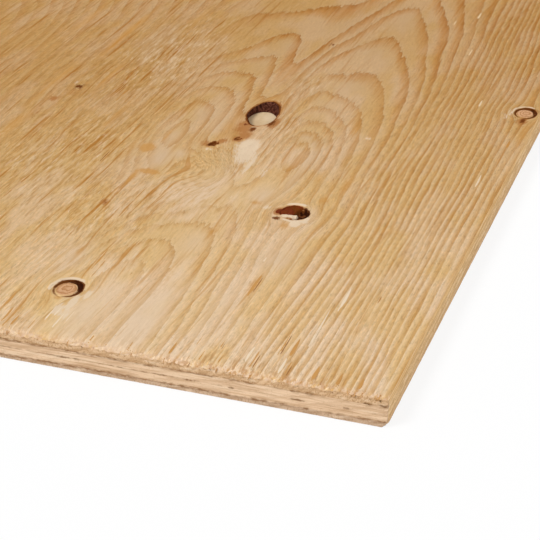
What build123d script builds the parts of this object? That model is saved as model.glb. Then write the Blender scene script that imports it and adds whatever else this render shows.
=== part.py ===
"""Sheathing plywood sheet, four plies in three layers, lying flat with its knotty face up.

The origin is the centre of the underside. X runs across the face grain, Y runs along it, and Z is up.
All sizes are in millimetres.
"""
from build123d import *
import os
from math import cos, pi, sin

# The sheet as it is sold
sheet_width = 1219.0
sheet_length = 2438.0

# The plies, from the underside up
back_ply = 2.4
lower_core_ply = 2.8
upper_core_ply = 2.9
face_ply = 3.8

# The worn upper arris of the front end
arris_wear = 0.8

# Places are given from the front right corner: back along X from the right edge, then along Y from the front end
# The hole that a fallen knot left, open down to the core
knot_hole_place = (121.0, 241.0)
knot_hole_width = 14.0
knot_hole_length = 33.5
knot_hole_egg = 0.12
knot_hole_lean = -0.06
knot_hole_far_slope = 3.3
knot_hole_side_slope = 0.7

# The knot that broke up in its socket
broken_knot_place = (75.0, 139.0)
broken_knot_width = 13.0
broken_knot_length = 17.5
broken_knot_depth = 1.1
broken_gap_offset = (3.4, 0.6)
broken_gap_width = 4.6
broken_gap_length = 13.0
broken_slit_offset = (-1.4, -4.6)
broken_slit_width = 5.6
broken_slit_length = 2.4

# Tight knots, each ringed by a groove where the bark shrank
near_knot_place = (135.5, 39.6)
near_knot_width = 11.6
near_knot_length = 14.6
near_groove_width = 1.3
near_groove_depth = 0.9
far_knot_place = (6.8, 288.0)
far_knot_width = 10.6
far_knot_length = 13.6
far_groove_width = 1.0
far_groove_depth = 0.6
knot_core_offset = 0.35

# Bark pits below the knot hole
pit_places = [(131.4, 197.2), (122.2, 208.2)]
pit_widths = [5.4, 4.0]
pit_lengths = [7.2, 5.6]
pit_depths = [1.4, 0.7]

# Gaps in the glue lines, seen at the front end: place along the edge, width and height
core_gap_places = [122.0, 84.0, 72.0, 34.0, 15.5]
core_gap_widths = [5.0, 7.5, 8.5, 4.8, 2.6]
core_gap_height = 0.55
face_gap_places = [57.0, 4.0]
face_gap_widths = [4.5, 4.0]
face_gap_height = 0.8
gap_depth = 6.0

# The chip broken off the back ply at the front right corner
chip_across = 1.9
chip_along = 5.0
chip_left_at_top = 0.12

# Points on a knot's outline, and how far a cutter stands clear of the wood it cuts
outline_points = 12
clear = 0.5

right_edge = sheet_width / 2
front_end = -sheet_length / 2
back_top = back_ply
core_middle = back_top + lower_core_ply
core_top = core_middle + upper_core_ply
sheet_top = core_top + face_ply


def at(place, z=0.0):
    """A place on the sheet, given from the front right corner, at height z."""
    from_right, from_front = place
    return Pos(right_edge - from_right, front_end + from_front, z)


def ply(bottom, thickness):
    """One whole veneer lying at the given height."""
    return Pos(0, 0, bottom) * Box(
        sheet_width, sheet_length, thickness, align=(Align.CENTER, Align.CENTER, Align.MIN)
    )


def knot_face(width, length, egg=0.0, lean=0.0):
    """Egg-shaped face: an ellipse, narrower towards its far end and leaning across the grain."""
    points = []
    for step in range(outline_points):
        turn = 2 * pi * step / outline_points
        along = 0.5 * length * sin(turn)
        across = 0.5 * width * cos(turn) * (1 - egg * sin(turn)) + lean * along
        points.append((across, along))
    return make_face(Spline(*points, periodic=True))


def knot_hole_cutter():
    """Body of the lost knot: it narrows downwards, most of all on its far side."""
    sections = []
    for z in (core_top - clear, sheet_top + clear):
        fall = (sheet_top - z) / face_ply
        width = knot_hole_width - 2 * knot_hole_side_slope * fall
        length = knot_hole_length - (knot_hole_far_slope + knot_hole_side_slope) * fall
        shift = -(knot_hole_far_slope - knot_hole_side_slope) / 2 * fall
        outline = knot_face(width, length, knot_hole_egg, knot_hole_lean)
        sections.append(at(knot_hole_place, z) * Pos(0, shift) * outline)
    return loft(sections)


def pocket(place, depth, face):
    """Straight-walled cutter with the given outline, sunk from the top of the face."""
    return at(place, sheet_top - depth) * extrude(face, depth + clear)


def beside(place, offset):
    """A place moved by an offset along X and Y."""
    return place[0] - offset[0], place[1] + offset[1]


def broken_knot_cutters():
    """Socket of the broken knot, and the two gaps in it that go through to the core."""
    through = face_ply + clear
    gap = beside(broken_knot_place, broken_gap_offset)
    slit = beside(broken_knot_place, broken_slit_offset)
    return [
        pocket(broken_knot_place, broken_knot_depth, knot_face(broken_knot_width, broken_knot_length)),
        pocket(gap, through, knot_face(broken_gap_width, broken_gap_length, egg=0.2)),
        pocket(slit, through, knot_face(broken_slit_width, broken_slit_length)),
    ]


def bark_groove(place, width, length, groove_width, depth):
    """Ring cut round a tight knot, wider on its far right side because the knot sits off centre."""
    ring = knot_face(width, length)
    knot = knot_face(width - 2 * groove_width, length - 2 * groove_width)
    knot = Pos(-knot_core_offset * groove_width, -knot_core_offset * groove_width) * knot
    return pocket(place, depth, ring - knot)


def glue_gap(from_right, z, width, height):
    """Lens-like gap in a glue line, open at the front end."""
    lens = Rot(90, 0, 0) * SlotOverall(width, height)
    reach = Pos(0, -clear, 0) * extrude(lens, gap_depth + clear, dir=(0, 1, 0))
    return at((from_right, 0), z) * reach


def make_face_veneer():
    veneer = ply(core_top, face_ply)
    front_arris = veneer.faces().sort_by(Axis.Y)[0].edges().sort_by(Axis.Z)[-1]
    veneer = chamfer(front_arris, arris_wear)
    cutters = [knot_hole_cutter(), *broken_knot_cutters()]
    cutters.append(bark_groove(
        near_knot_place, near_knot_width, near_knot_length, near_groove_width, near_groove_depth))
    cutters.append(bark_groove(
        far_knot_place, far_knot_width, far_knot_length, far_groove_width, far_groove_depth))
    for place, width, length, depth in zip(pit_places, pit_widths, pit_lengths, pit_depths):
        cutters.append(pocket(place, depth, knot_face(width, length)))
    return veneer - cutters - face_gaps()


def core_gaps():
    return [
        glue_gap(place, core_middle, width, core_gap_height)
        for place, width in zip(core_gap_places, core_gap_widths)
    ]


def face_gaps():
    return [
        glue_gap(place, core_top, width, face_gap_height)
        for place, width in zip(face_gap_places, face_gap_widths)
    ]


def make_upper_core_veneer():
    return ply(core_middle, upper_core_ply) - core_gaps() - face_gaps()


def make_lower_core_veneer():
    return ply(back_top, lower_core_ply) - core_gaps()


def corner_chip():
    """Splinter lost from the back ply: widest at the underside, nothing much where it meets the core."""
    sections = []
    for z, share in ((-clear, 1.0), (back_top, chip_left_at_top)):
        outline = Polygon(
            (clear, -clear), (clear, chip_along * share), (-chip_across * share, -clear), align=None
        )
        sections.append(at((0, 0), z) * outline)
    return loft(sections)


def make_back_veneer():
    return ply(0, back_ply) - corner_chip()


pieces = {
    "face_veneer": make_face_veneer(),
    "upper_core_veneer": make_upper_core_veneer(),
    "lower_core_veneer": make_lower_core_veneer(),
    "back_veneer": make_back_veneer(),
}

os.makedirs("parts", exist_ok=True)
for name, piece in pieces.items():
    export_step(piece, f"parts/{name}.step")
    print(f"{name}: {piece.volume / 1000:.1f} cm3, {len(piece.solids())} solid")
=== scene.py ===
# %% [markdown]
# # A sheet of sheathing plywood
# The real thing is four veneers glued into a board 11.9 mm thick. The top one is the show piece: a wide
# ribbon of softwood peeled off a turning log, so the growth rings come out as nested arches, and each
# branch as a knot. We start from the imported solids, which give every size. All looks are built around
# them, in metres.

# %% Load the frame and read the sizes from it
import math
import bmesh
import bpy
import numpy as np
from mathutils import Matrix, Vector


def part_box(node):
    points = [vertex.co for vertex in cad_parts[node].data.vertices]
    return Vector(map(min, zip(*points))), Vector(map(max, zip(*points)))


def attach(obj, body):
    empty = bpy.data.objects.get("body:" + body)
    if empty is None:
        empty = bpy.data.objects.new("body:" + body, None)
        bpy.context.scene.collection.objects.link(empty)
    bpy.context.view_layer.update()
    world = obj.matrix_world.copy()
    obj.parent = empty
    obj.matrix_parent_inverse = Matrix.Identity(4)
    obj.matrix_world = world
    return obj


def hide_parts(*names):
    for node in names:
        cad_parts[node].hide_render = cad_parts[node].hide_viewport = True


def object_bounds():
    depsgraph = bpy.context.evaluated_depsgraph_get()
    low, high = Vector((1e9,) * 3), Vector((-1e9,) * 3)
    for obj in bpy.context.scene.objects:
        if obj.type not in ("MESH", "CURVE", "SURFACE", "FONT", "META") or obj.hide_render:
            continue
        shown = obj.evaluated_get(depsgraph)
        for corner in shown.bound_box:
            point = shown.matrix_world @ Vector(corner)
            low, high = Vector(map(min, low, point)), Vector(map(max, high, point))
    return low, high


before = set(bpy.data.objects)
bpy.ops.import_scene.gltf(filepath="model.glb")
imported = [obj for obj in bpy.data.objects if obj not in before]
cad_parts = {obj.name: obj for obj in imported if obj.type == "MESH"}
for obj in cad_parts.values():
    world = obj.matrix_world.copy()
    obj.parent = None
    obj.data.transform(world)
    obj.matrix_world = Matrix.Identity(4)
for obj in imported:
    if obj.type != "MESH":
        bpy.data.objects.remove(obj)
cad_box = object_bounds()

mm = 0.001
half_width, half_length = cad_box[1].x, cad_box[1].y
sheet_width, sheet_length = 2 * half_width / mm, 2 * half_length / mm
underside, back_top = (corner.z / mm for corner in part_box("back_veneer"))
core_middle, core_top = (corner.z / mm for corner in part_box("upper_core_veneer"))
sheet_top = cad_box[1].z / mm
print(f"sheet {sheet_width:.0f} x {sheet_length:.0f} x {sheet_top:.1f} mm, glue lines at"
      f" {back_top:.1f}, {core_middle:.1f} and {core_top:.1f} mm")

# %% [markdown]
# ## Where things are
# A carpenter measures from a corner, and so do we. A place on the sheet is (u, v): u millimetres back
# from the right edge, then v millimetres along from the front end. One function turns such places into
# Blender's metres.


# %% Places on the sheet
def to_space(u, v, z):
    """Points in metres: x is the right edge less u, y is the front end plus v, and z stays."""
    return np.stack([half_width - u * mm, v * mm - half_length, z * mm], -1)


# %% [markdown]
# ## Camera, floor and light
# The photograph looks down on one corner with a long lens, from low on the right. The lens, the place and
# the three angles below were worked out from the sheet's straight edges and its known thickness. A key
# lamp from the front left brings out the grain, and a weaker one from the right fills in the side. The
# floor is white paper: it takes the sheet's shadow, but the camera also sees a share of plain white on
# it, as in a catalogue picture.

# %% Camera
lens_pixels = 2000
picture_pixels = 540
film_width = 36
camera_pitch = math.radians(25.806)
camera_yaw = math.radians(-16.334)
camera_roll = math.radians(2.163)
camera_from_corner = (128.47, -589.97, 350.59)

camera = bpy.data.objects.new("camera", bpy.data.cameras.new("camera"))
camera.data.sensor_width = film_width
camera.data.lens = film_width * lens_pixels / picture_pixels
camera.data.clip_end = 200
forward = np.array([
    math.sin(camera_yaw) * math.cos(camera_pitch),
    math.cos(camera_yaw) * math.cos(camera_pitch),
    -math.sin(camera_pitch),
])
level = np.array([math.cos(camera_yaw), -math.sin(camera_yaw), 0])
upright = np.cross(level, forward)
right = math.cos(camera_roll) * level + math.sin(camera_roll) * upright
up = math.cos(camera_roll) * upright - math.sin(camera_roll) * level
turn = Matrix(np.stack([right, up, -forward], 1).tolist()).to_4x4()
corner = (half_width, -half_length, 0)
place = [at + step * mm for at, step in zip(corner, camera_from_corner)]
camera.matrix_world = Matrix.Translation(place) @ turn
bpy.context.scene.collection.objects.link(camera)
bpy.context.scene.camera = camera
print("camera at", [round(c, 3) for c in place], "lens", round(camera.data.lens, 1))


# %% Light
def lamp(name, shines_towards, energy, spread):
    """A far lamp with the direction that it shines in. Its spread, in degrees, softens the shadows."""
    sun = bpy.data.objects.new(name, bpy.data.lights.new(name, "SUN"))
    sun.data.energy = energy
    sun.data.angle = math.radians(spread)
    sun.rotation_euler = Vector(shines_towards).to_track_quat("-Z", "Y").to_euler()
    bpy.context.scene.collection.objects.link(sun)


lamp("key_lamp", shines_towards=(0.42, 0.49, -0.76), energy=1.75, spread=20)
lamp("fill_lamp", shines_towards=(-0.75, 0.25, -0.61), energy=0.7, spread=50)

sky_strength = 0.45
world = bpy.data.worlds.new("studio")
bpy.context.scene.world = world
world.use_nodes = True
sky = world.node_tree.nodes["Background"]
sky.inputs["Color"].default_value = (1, 1, 1, 1)
seen = world.node_tree.nodes.new("ShaderNodeLightPath")
either = world.node_tree.nodes.new("ShaderNodeMath")
either.operation = "MAXIMUM"
level_of_sky = world.node_tree.nodes.new("ShaderNodeMapRange")
level_of_sky.inputs["To Min"].default_value = sky_strength
level_of_sky.inputs["To Max"].default_value = 1.0
world.node_tree.links.new(seen.outputs["Is Camera Ray"], either.inputs[0])
world.node_tree.links.new(seen.outputs["Is Glossy Ray"], either.inputs[1])
world.node_tree.links.new(either.outputs[0], level_of_sky.inputs["Value"])
world.node_tree.links.new(level_of_sky.outputs[0], sky.inputs["Strength"])
bpy.context.scene.view_settings.view_transform = "Standard"

# %% Floor
floor_half = 60
floor_drop = 0.2 * mm
floor_white = (0.97, 0.97, 0.97, 1)
paper_share = 0.85
floor_mesh = bpy.data.meshes.new("floor")
floor_mesh.from_pydata(
    [(x * floor_half, y * floor_half, -floor_drop) for x, y in ((-1, -1), (1, -1), (1, 1), (-1, 1))],
    [], [(0, 1, 2, 3)],
)
floor = bpy.data.objects.new("floor", floor_mesh)
bpy.context.scene.collection.objects.link(floor)
paper = bpy.data.materials.new("white_paper")
paper.use_nodes = True
floor_mesh.materials.append(paper)
paper.node_tree.nodes.clear()
matt = paper.node_tree.nodes.new("ShaderNodeBsdfDiffuse")
matt.inputs["Color"].default_value = floor_white
glow = paper.node_tree.nodes.new("ShaderNodeEmission")
seen = paper.node_tree.nodes.new("ShaderNodeLightPath")
share = paper.node_tree.nodes.new("ShaderNodeMath")
share.operation = "MULTIPLY"
share.inputs[1].default_value = paper_share
both = paper.node_tree.nodes.new("ShaderNodeMixShader")
shown = paper.node_tree.nodes.new("ShaderNodeOutputMaterial")
paper.node_tree.links.new(seen.outputs["Is Camera Ray"], share.inputs[0])
paper.node_tree.links.new(share.outputs[0], both.inputs[0])
paper.node_tree.links.new(matt.outputs[0], both.inputs[1])
paper.node_tree.links.new(glow.outputs[0], both.inputs[2])
paper.node_tree.links.new(both.outputs[0], shown.inputs["Surface"])

# %% [markdown]
# ## Noise on whole arrays
# Wood is never regular, so most shapes below get some noise. This is the plainest kind: random heights on
# a lattice, joined by smooth steps. It takes arrays and gives arrays, so one call does for all points at
# once.


# %% Soft noise
def soft_noise(a, b, seed):
    """Random heights at whole-number places, joined with smooth steps 3t^2 - 2t^3. Between -1 and 1."""
    heights = np.random.default_rng(seed).uniform(-1, 1, (128, 128))
    i, j = np.floor(a).astype(int), np.floor(b).astype(int)
    s, t = a - i, b - j
    s, t = s * s * (3 - 2 * s), t * t * (3 - 2 * t)
    near = heights[i % 128, j % 128] * (1 - s) + heights[(i + 1) % 128, j % 128] * s
    far = heights[i % 128, (j + 1) % 128] * (1 - s) + heights[(i + 1) % 128, (j + 1) % 128] * s
    return near * (1 - t) + far * t


def smooth_step(value, start, end):
    """0 before start, 1 after end, and a smooth rise between."""
    t = np.clip((value - start) / (end - start), 0, 1)
    return t * t * (3 - 2 * t)


def spot(u, v, place, width, length):
    """A soft round spot: exp(-r^2), with r measured in half widths and half lengths."""
    return np.exp(-((u - place[0]) / (width / 2)) ** 2 - ((v - place[1]) / (length / 2)) ** 2)


# %% [markdown]
# ## The knots
# A branch runs through the log, and the peeled veneer cuts across it. In the photographed corner one knot
# fell out, one broke up, two are tight with a ring of dark bark, and two small bark pits lie by the hole.
# The log turns once for every 940 mm of veneer, so each branch shows again that far to the left, and
# branches grow in whorls.

# %% Every knot: kind, u, v, width, length
log_turn = 940
knots = [
    ("hole", 121.0, 241.0, 14.0, 33.5),
    ("broken", 75.3, 138.4, 14.0, 16.2),
    ("tight", 135.3, 39.6, 11.6, 15.6),
    ("tight", 6.4, 287.8, 10.8, 14.6),
    ("pit", 130.9, 197.0, 5.2, 8.0),
    ("pit", 122.2, 206.6, 4.0, 5.6),
    ("tight", 75 + log_turn, 144, 12, 16),
    ("tight", 121 + log_turn, 236, 15, 20),
    ("tight", 135 + log_turn, 33, 9, 11),
    ("tight", 7 + log_turn, 296, 12, 14),
    ("tight", 215, 792, 13, 17),
    ("tight", 588, 771, 17, 22),
    ("tight", 861, 806, 10, 13),
    ("tight", 215 + log_turn, 799, 14, 16),
    ("tight", 96, 1338, 16, 20),
    ("tight", 372, 1362, 10, 12),
    ("tight", 716, 1345, 14, 19),
    ("tight", 96 + log_turn, 1349, 14, 19),
    ("tight", 268, 1903, 15, 20),
    ("tight", 655, 1921, 11, 14),
    ("tight", 934, 1896, 18, 23),
    ("tight", 128, 2310, 10, 14),
    ("tight", 487, 2296, 15, 18),
    ("tight", 128 + log_turn, 2318, 11, 15),
]
print(len(knots), "knots")

# %% [markdown]
# ## The growth rings as one smooth map
# Give every point of the face a ring number: whole where the dark late wood of a year ends, and rising
# steadily to the next. Its whole-number contour lines are then the lines of the grain, and hills in it
# are the closed loops and arches. Far from the photographed corner the map is a slow wave for each turn
# of the log. In the corner it passes through the ring lines read off the photograph: each is a year with
# a few places it runs through. Single places between the lines say how high a hill or a ridge rises
# there, and how low a hollow lies.

# %% Ring lines of the photographed corner
ring_lines = {
    -8: [(120, 76), (114.5, 66), (112.5, 52), (112.5, 20), (113, 0), (127, 64), (130.5, 50)],
    -7: [(118, 93), (110, 84), (106, 66), (105, 45), (106.5, 20), (106.5, 0), (126, 86), (132.5, 70),
         (137, 52)],
    -6: [(110, 114), (104, 118), (98.5, 102), (95.5, 85), (93, 62), (91, 35), (90, 0), (124, 108),
         (135, 92), (141, 70), (144.5, 42)],
    -5: [(97, 126), (91, 105), (89, 80), (88, 60), (86, 30), (86, 0), (96.5, 191), (99, 205), (97, 213),
         (93, 214), (87.5, 203.5), (86.5, 192), (89.5, 184.5), (93.5, 184.5)],
    -4: [(101, 160), (101.5, 195), (92, 222), (83.5, 205), (84, 160), (86.5, 118), (83.5, 55), (81, 0)],
    -3: [(104, 195), (95, 240), (82, 222), (79, 190), (82, 110), (79.5, 75), (77, 25), (77, 0)],
    -2: [(108, 215), (95, 257), (80, 240), (74, 200), (73, 175), (78, 105), (74.5, 75), (72, 0),
         (150, 223), (146, 205), (155.5, 205)],
    -1: [(112, 240), (96, 277), (81, 262), (74, 235), (68.5, 200), (67, 165), (69.5, 95), (67, 0),
         (148, 244), (141, 215), (158, 215), (140, 180)],
    0: [(114, 270), (104, 300), (95, 313), (84, 307), (76, 290), (70.5, 267), (64, 235), (61, 160),
        (60, 0), (144, 262), (136, 250), (134, 225), (164, 235), (160, 180), (135, 190), (152, 140)],
    1: [(117, 295), (107, 338), (101, 355), (92, 369), (83, 353), (74, 330), (67, 305), (62.5, 280),
        (59.5, 240), (57.5, 200), (57, 0), (157, 285), (145, 286), (137, 281), (131.5, 264)],
    2: [(120.5, 315), (117, 340), (110, 370), (103, 400), (95, 421), (84, 405), (77, 385), (71, 358),
        (66, 335), (61, 308), (58, 280), (55, 230), (54, 0), (162, 299), (151, 307), (143, 314),
        (134, 316), (130, 297), (128, 278)],
    3: [(81, 437), (71, 405), (64, 380), (61, 355), (57, 320), (54, 280), (51.5, 230), (50.5, 0),
        (173, 240), (168, 150), (169, 296), (161, 314), (152, 337), (143, 350), (133, 352), (131.2, 338),
        (129, 312), (127.2, 286), (123.6, 315), (122, 335), (118.5, 354), (113, 386), (107, 416),
        (98, 446)],
    4: [(69, 440), (61, 402), (57, 370), (53.5, 335), (50, 290), (48.5, 230), (47, 0), (182, 300),
        (180, 150), (172, 60), (177, 340), (172, 368), (151, 389), (139, 400)],
    5: [(58, 440), (54.5, 402), (50, 345), (46.5, 290), (45.5, 200), (44, 0)],
    6: [(193, 330), (193, 200), (188, 100)],
    7: [(47, 440), (43.5, 380), (40.5, 290), (39, 200), (37.5, 0)],
    10: [(37, 440), (33.5, 370), (31.5, 290), (29.5, 200), (28, 0), (219, 350), (219, 250), (215, 160)],
    14: [(24, 400), (19.5, 290), (17.5, 200), (16.5, 0), (246, 340), (243, 250)],
    20: [(0, 420), (0, 200), (0, 0), (285, 335), (280, 250)],
}
hills_and_hollows = [
    ((151, 200), -2.6), ((122, 20), -8.7), ((120, 45), -8.7), ((93, 200), -6.1), ((93, 166), -4.6),
    ((125.5, 268), 3.0), ((125.6, 288), 3.3), ((126.3, 312), 3.5), ((126.5, 334), 3.6),
    ((125.5, 354), 3.6), ((125, 378), 3.75), ((128, 402), 3.9), ((131, 440), 4.3), ((160, 430), 5.0),
]
pulls = [(place, year) for year, places in ring_lines.items() for place in places] + hills_and_hollows
line_places = np.array([place for place, _ in pulls])
line_years = np.array([year for _, year in pulls])
print(len(line_places), "places on", len(ring_lines), "ring lines")


# %% The map of ring numbers
def log_rings(u, v):
    """A cosine for each turn of the log, steeper by the right edge, swaying along the grain in slow
    sines."""
    away = np.clip((v - 250) / 500, 0, 1) + np.clip((u - 300) / 300, 0, 1)
    away = np.minimum(away, 1)
    sway = 7 * np.sin(v / 310 + 0.6) + 4 * np.sin(v / 137 + 2.1 + u / 260)
    arches = 4.5 * np.sin(v / 240 + u / 420) + 2.2 * np.sin(v / 97 - u / 330 + 1.2)
    narrow = 3.2 * np.sin(u / 31 + 1.6 * np.sin(v / 420)) * np.sin(v / 350 + u / 190)
    u = u + sway * away
    wave = 22 - 25 * np.cos(2 * np.pi * (u - 110) / log_turn)
    edge = 16 * np.exp(-((u / 45) ** 2))
    return wave + edge + (arches + narrow) * away


pull_across, pull_along = 19, 45


def closeness(a, b):
    """How much two places share: (1 + r + r^2/3) e^-r, with r in steps of 19 mm across and 45 mm
    along."""
    across = (a[:, None, 0] - b[None, :, 0]) / pull_across
    along = (a[:, None, 1] - b[None, :, 1]) / pull_along
    r = np.sqrt(across ** 2 + along ** 2)
    return (1 + r + r * r / 3) * np.exp(-r)


stiffness = 0.0012
line_pull = np.linalg.solve(
    closeness(line_places, line_places) + stiffness * np.eye(len(line_places)),
    line_years - log_rings(line_places[:, 0], line_places[:, 1]),
)
swirl = ((123, 167), 24, 40)
swirl_height = -6
fibre_swirl = ((122.5, 166), 24, 42)
fibre_bulge = 10
pull_ends = (560, 900)
batch_size = 8000


def led_round(u, v):
    """How far the knots push the fibres aside: 0.8 du times the smaller of r^2 and 1 / r^2, fading by
    exp(-(r / 4)^2), where r is 1 on the knot's outline."""
    led = np.zeros_like(u)
    for kind, ku, kv, width, length in knots:
        if kind == "pit":
            continue
        du, dv = u - ku, v - kv
        reach = np.maximum(np.hypot(du / (width / 2), dv / (length / 2)), 0.01)
        around = np.minimum(reach ** -2, reach ** 2)
        led += du * around * np.exp(-((reach / 4) ** 2)) * 0.8
    return led


def ring_number(u, v):
    """The log's own wave, the hollow of the swirl and the pull of each place on a ring line, added up
    after the grain has been led round the knots."""
    u, v = np.broadcast_arrays(np.asarray(u, float), np.asarray(v, float))
    shape = u.shape
    u, v = u.ravel(), v.ravel()
    u = u - led_round(u, v)
    rings = log_rings(u, v) + swirl_height * spot(u, v, *swirl)
    near = (u < pull_ends[0]) & (v < pull_ends[1])
    places = np.stack([u[near], v[near]], -1)
    batches = np.array_split(places, 1 + len(places) // batch_size)
    rings[near] += np.concatenate([closeness(part, line_places) @ line_pull for part in batches])
    return rings.reshape(shape)


def fibre_shift(u, v):
    """How many mm aside the fibres run: led round knots and the swirl, swaying gently, and wavy where
    torn."""
    gentle = 2.5 * soft_noise(u / 45, v / 80, 21)
    wavy = 0.8 * torn_grain(u, v) * soft_noise(u / 11, v / 19, 22)
    return gentle + wavy - led_round(u, v) + fibre_bulge * spot(u, v, *fibre_swirl)


narrowest_ring, widest_ring = 1.6, 22
steepest = 0.3


def ring_slopes(u, v):
    """How many rings one mm brings, across the sheet and along it: differences over 0.8 mm."""
    step = 0.4
    across = (ring_number(u + step, v) - ring_number(u - step, v)) / (2 * step)
    along = (ring_number(u, v + step) - ring_number(u, v - step)) / (2 * step)
    return across, along


def ring_width(across, along):
    """How many mm of face one ring takes: one over the slope of the ring number, within limits."""
    return np.clip(1 / np.maximum(np.hypot(across, along), 1e-6), narrowest_ring, widest_ring)


# %% [markdown]
# ## Stains, smudges and torn grain
# Bark leaves near-black edges, resin a red stain, and a lifted sliver leaves a pale smooth patch. Late
# wood that the knife only grazed shows as an orange smudge. Each is a smooth mask over the face, from 0
# to 1, made of soft spots at the places where the photograph shows them. The finish later frays their
# borders along the fibres.

# %% Small marks: u, v, width, length, strength
dark_marks = [
    (213, 241, 4.4, 7, 0.62), (152.5, 120, 3.0, 4.5, 0.42), (117, 345, 2.6, 5, 0.5),
    (119.8, 220.6, 3.2, 6.5, 0.7), (113.8, 231, 3.0, 10, 0.62), (80.8, 130.6, 3.6, 3, 0.8),
    (113.5, 174.3, 2.2, 4, 0.3), (111.9, 168.6, 2.0, 4, 0.3), (6, 277.6, 2.6, 9, 0.5),
    (560, 480, 4, 6, 0.8), (812, 1105, 5, 7, 0.7), (330, 1640, 4, 7, 0.8), (980, 560, 4, 6, 0.7),
    (150, 1040, 4, 6, 0.7), (700, 2120, 5, 8, 0.8), (1120, 1650, 4, 6, 0.7), (430, 930, 4, 5, 0.6),
]
red_marks = [
    (218, 222, 4.5, 8, 0.8), (122.2, 206, 5.4, 7, 0.8), (120.6, 212, 5, 12, 0.85),
    (123.5, 219, 10, 13, 0.75), (124.2, 224.4, 8, 9, 0.95), (113.0, 231, 4.6, 14, 0.95),
    (213, 233, 6, 16, 0.45), (128, 201.6, 4.5, 6, 0.8), (152.5, 120, 4.5, 6.5, 0.8),
    (6.2, 277, 5, 11, 0.8), (138, 351, 12, 5, 0.35), (104, 400, 4, 22, 0.3), (134.5, 196, 5, 9, 0.6),
    (218, 205, 3, 16, 0.4), (81.6, 137.6, 4.0, 7, 1.7),
]
pale_marks = [
    (115.4, 200, 11.5, 23, 1.0), (113.4, 190, 10, 24, 0.95), (88, 139.5, 5.5, 7, 0.6),
    (72.2, 127.6, 5.5, 7, 1.0), (68.6, 132, 3.0, 9, 0.9), (129.4, 29.6, 3.4, 15, 1.1),
    (132.4, 22, 3.2, 12, 1.0), (126.5, 37, 3.0, 10, 0.9), (128.4, 19, 3.0, 15, 0.8),
    (216, 245, 4, 14, 0.4), (131, 190.6, 6, 4, 0.7), (99.5, 176, 5.0, 24, 0.5),
    (108.4, 180, 3.4, 26, 0.9), (14, 283, 6, 26, 0.5), (67.5, 229, 3, 6, 0.8),
]
smooth_marks = [
    (147, 173, 11, 26, 1.2), (141, 181, 8, 16, 1.0), (145, 229, 12, 24, 0.8), (68, 92, 15, 22, 0.9),
    (93, 150, 12, 22, 0.9), (141, 312, 12, 44, 0.7), (137, 336, 12, 24, 0.8), (92, 292, 18, 30, 0.7),
    (100, 25, 20, 60, 0.8), (121, 22, 16, 40, 0.8), (143, 66, 10, 36, 0.7), (95, 345, 18, 34, 0.7),
    (92, 395, 18, 44, 0.7), (200, 315, 18, 60, 0.6), (160, 175, 8, 40, 0.6), (137, 215, 8, 60, 0.6),
    (62, 37, 16, 8, 0.6), (78, 40, 12, 60, 0.5), (104, 96, 14, 30, 0.6), (150, 195, 14, 40, 0.6),
    (118, 310, 10, 60, 0.6), (94, 219.5, 6, 7, 0.9), (88.5, 213, 4.5, 11, 1.0), (84.6, 198, 4.5, 34, 1.0),
    (85.8, 172, 4.5, 40, 1.0), (84, 330, 8, 40, 0.5), (115, 150, 26, 60, 0.5), (72, 200, 4, 80, 0.4),
    (120, 375, 30, 50, 0.5),
]
orange_marks = [
    (156.5, 182, 6.5, 10, 1.7), (153.4, 198, 3, 22, 0.8), (146.5, 157, 10.5, 5.5, 1.6),
    (151, 149, 3, 18, 1.1), (163, 178, 3, 60, 0.7), (183, 215, 3, 70, 0.8), (205, 262, 4, 60, 0.8),
    (226, 245, 4, 90, 0.8), (67.4, 154.6, 5.5, 8, 0.95), (93.2, 142.4, 5.5, 6, 0.95),
    (62.4, 174, 5.5, 34, 0.8), (92.5, 176, 7, 28, 0.5), (76, 177, 4.5, 24, 0.6), (76, 237, 5, 26, 0.6),
    (75.4, 124.6, 4.4, 11, 0.9), (70.5, 68, 4.5, 22, 0.8), (136, 30.8, 5, 4, 0.8),
    (103.5, 60, 4, 44, 0.5), (101, 109, 5, 24, 0.7), (42.6, 100, 2.8, 26, 0.7), (96, 312, 15, 8, 0.5),
    (219.5, 320, 5, 100, 0.9), (222, 185, 7, 60, 0.7), (246, 335, 6, 70, 0.7), (193, 360, 4, 60, 0.6),
    (3, 262, 5, 46, 0.7), (171, 178, 3, 32, 0.7), (126, 300, 4, 70, 0.4), (130, 342, 4, 20, 0.4),
    (85, 430, 6, 40, 0.5), (65, 415, 5, 60, 0.5), (155, 14, 14, 36, 0.4), (144, 72, 3, 10, 0.7),
    (8, 310, 6, 40, 0.5), (239, 210, 5, 60, 0.5),
]


def gather(u, v, marks):
    """The strongest of the soft spots at each point."""
    mask = np.zeros_like(u)
    for mu, mv, width, length, strength in marks:
        mask = np.maximum(mask, strength * spot(u, v, (mu, mv), width, length))
    return mask


# %% [markdown]
# ## A shell that is put together from strips
# Every veneer is one closed surface. We keep its points in one list and join rows of them: two rows of
# the same count by four-sided tiles, a coarse row to one with twice the points by five-sided tiles, and a
# loop to a single point in its middle. Nothing is cut or merged afterwards, so the shells are closed by
# construction.


# %% The shell
sharp_angle = math.radians(50)


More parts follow.
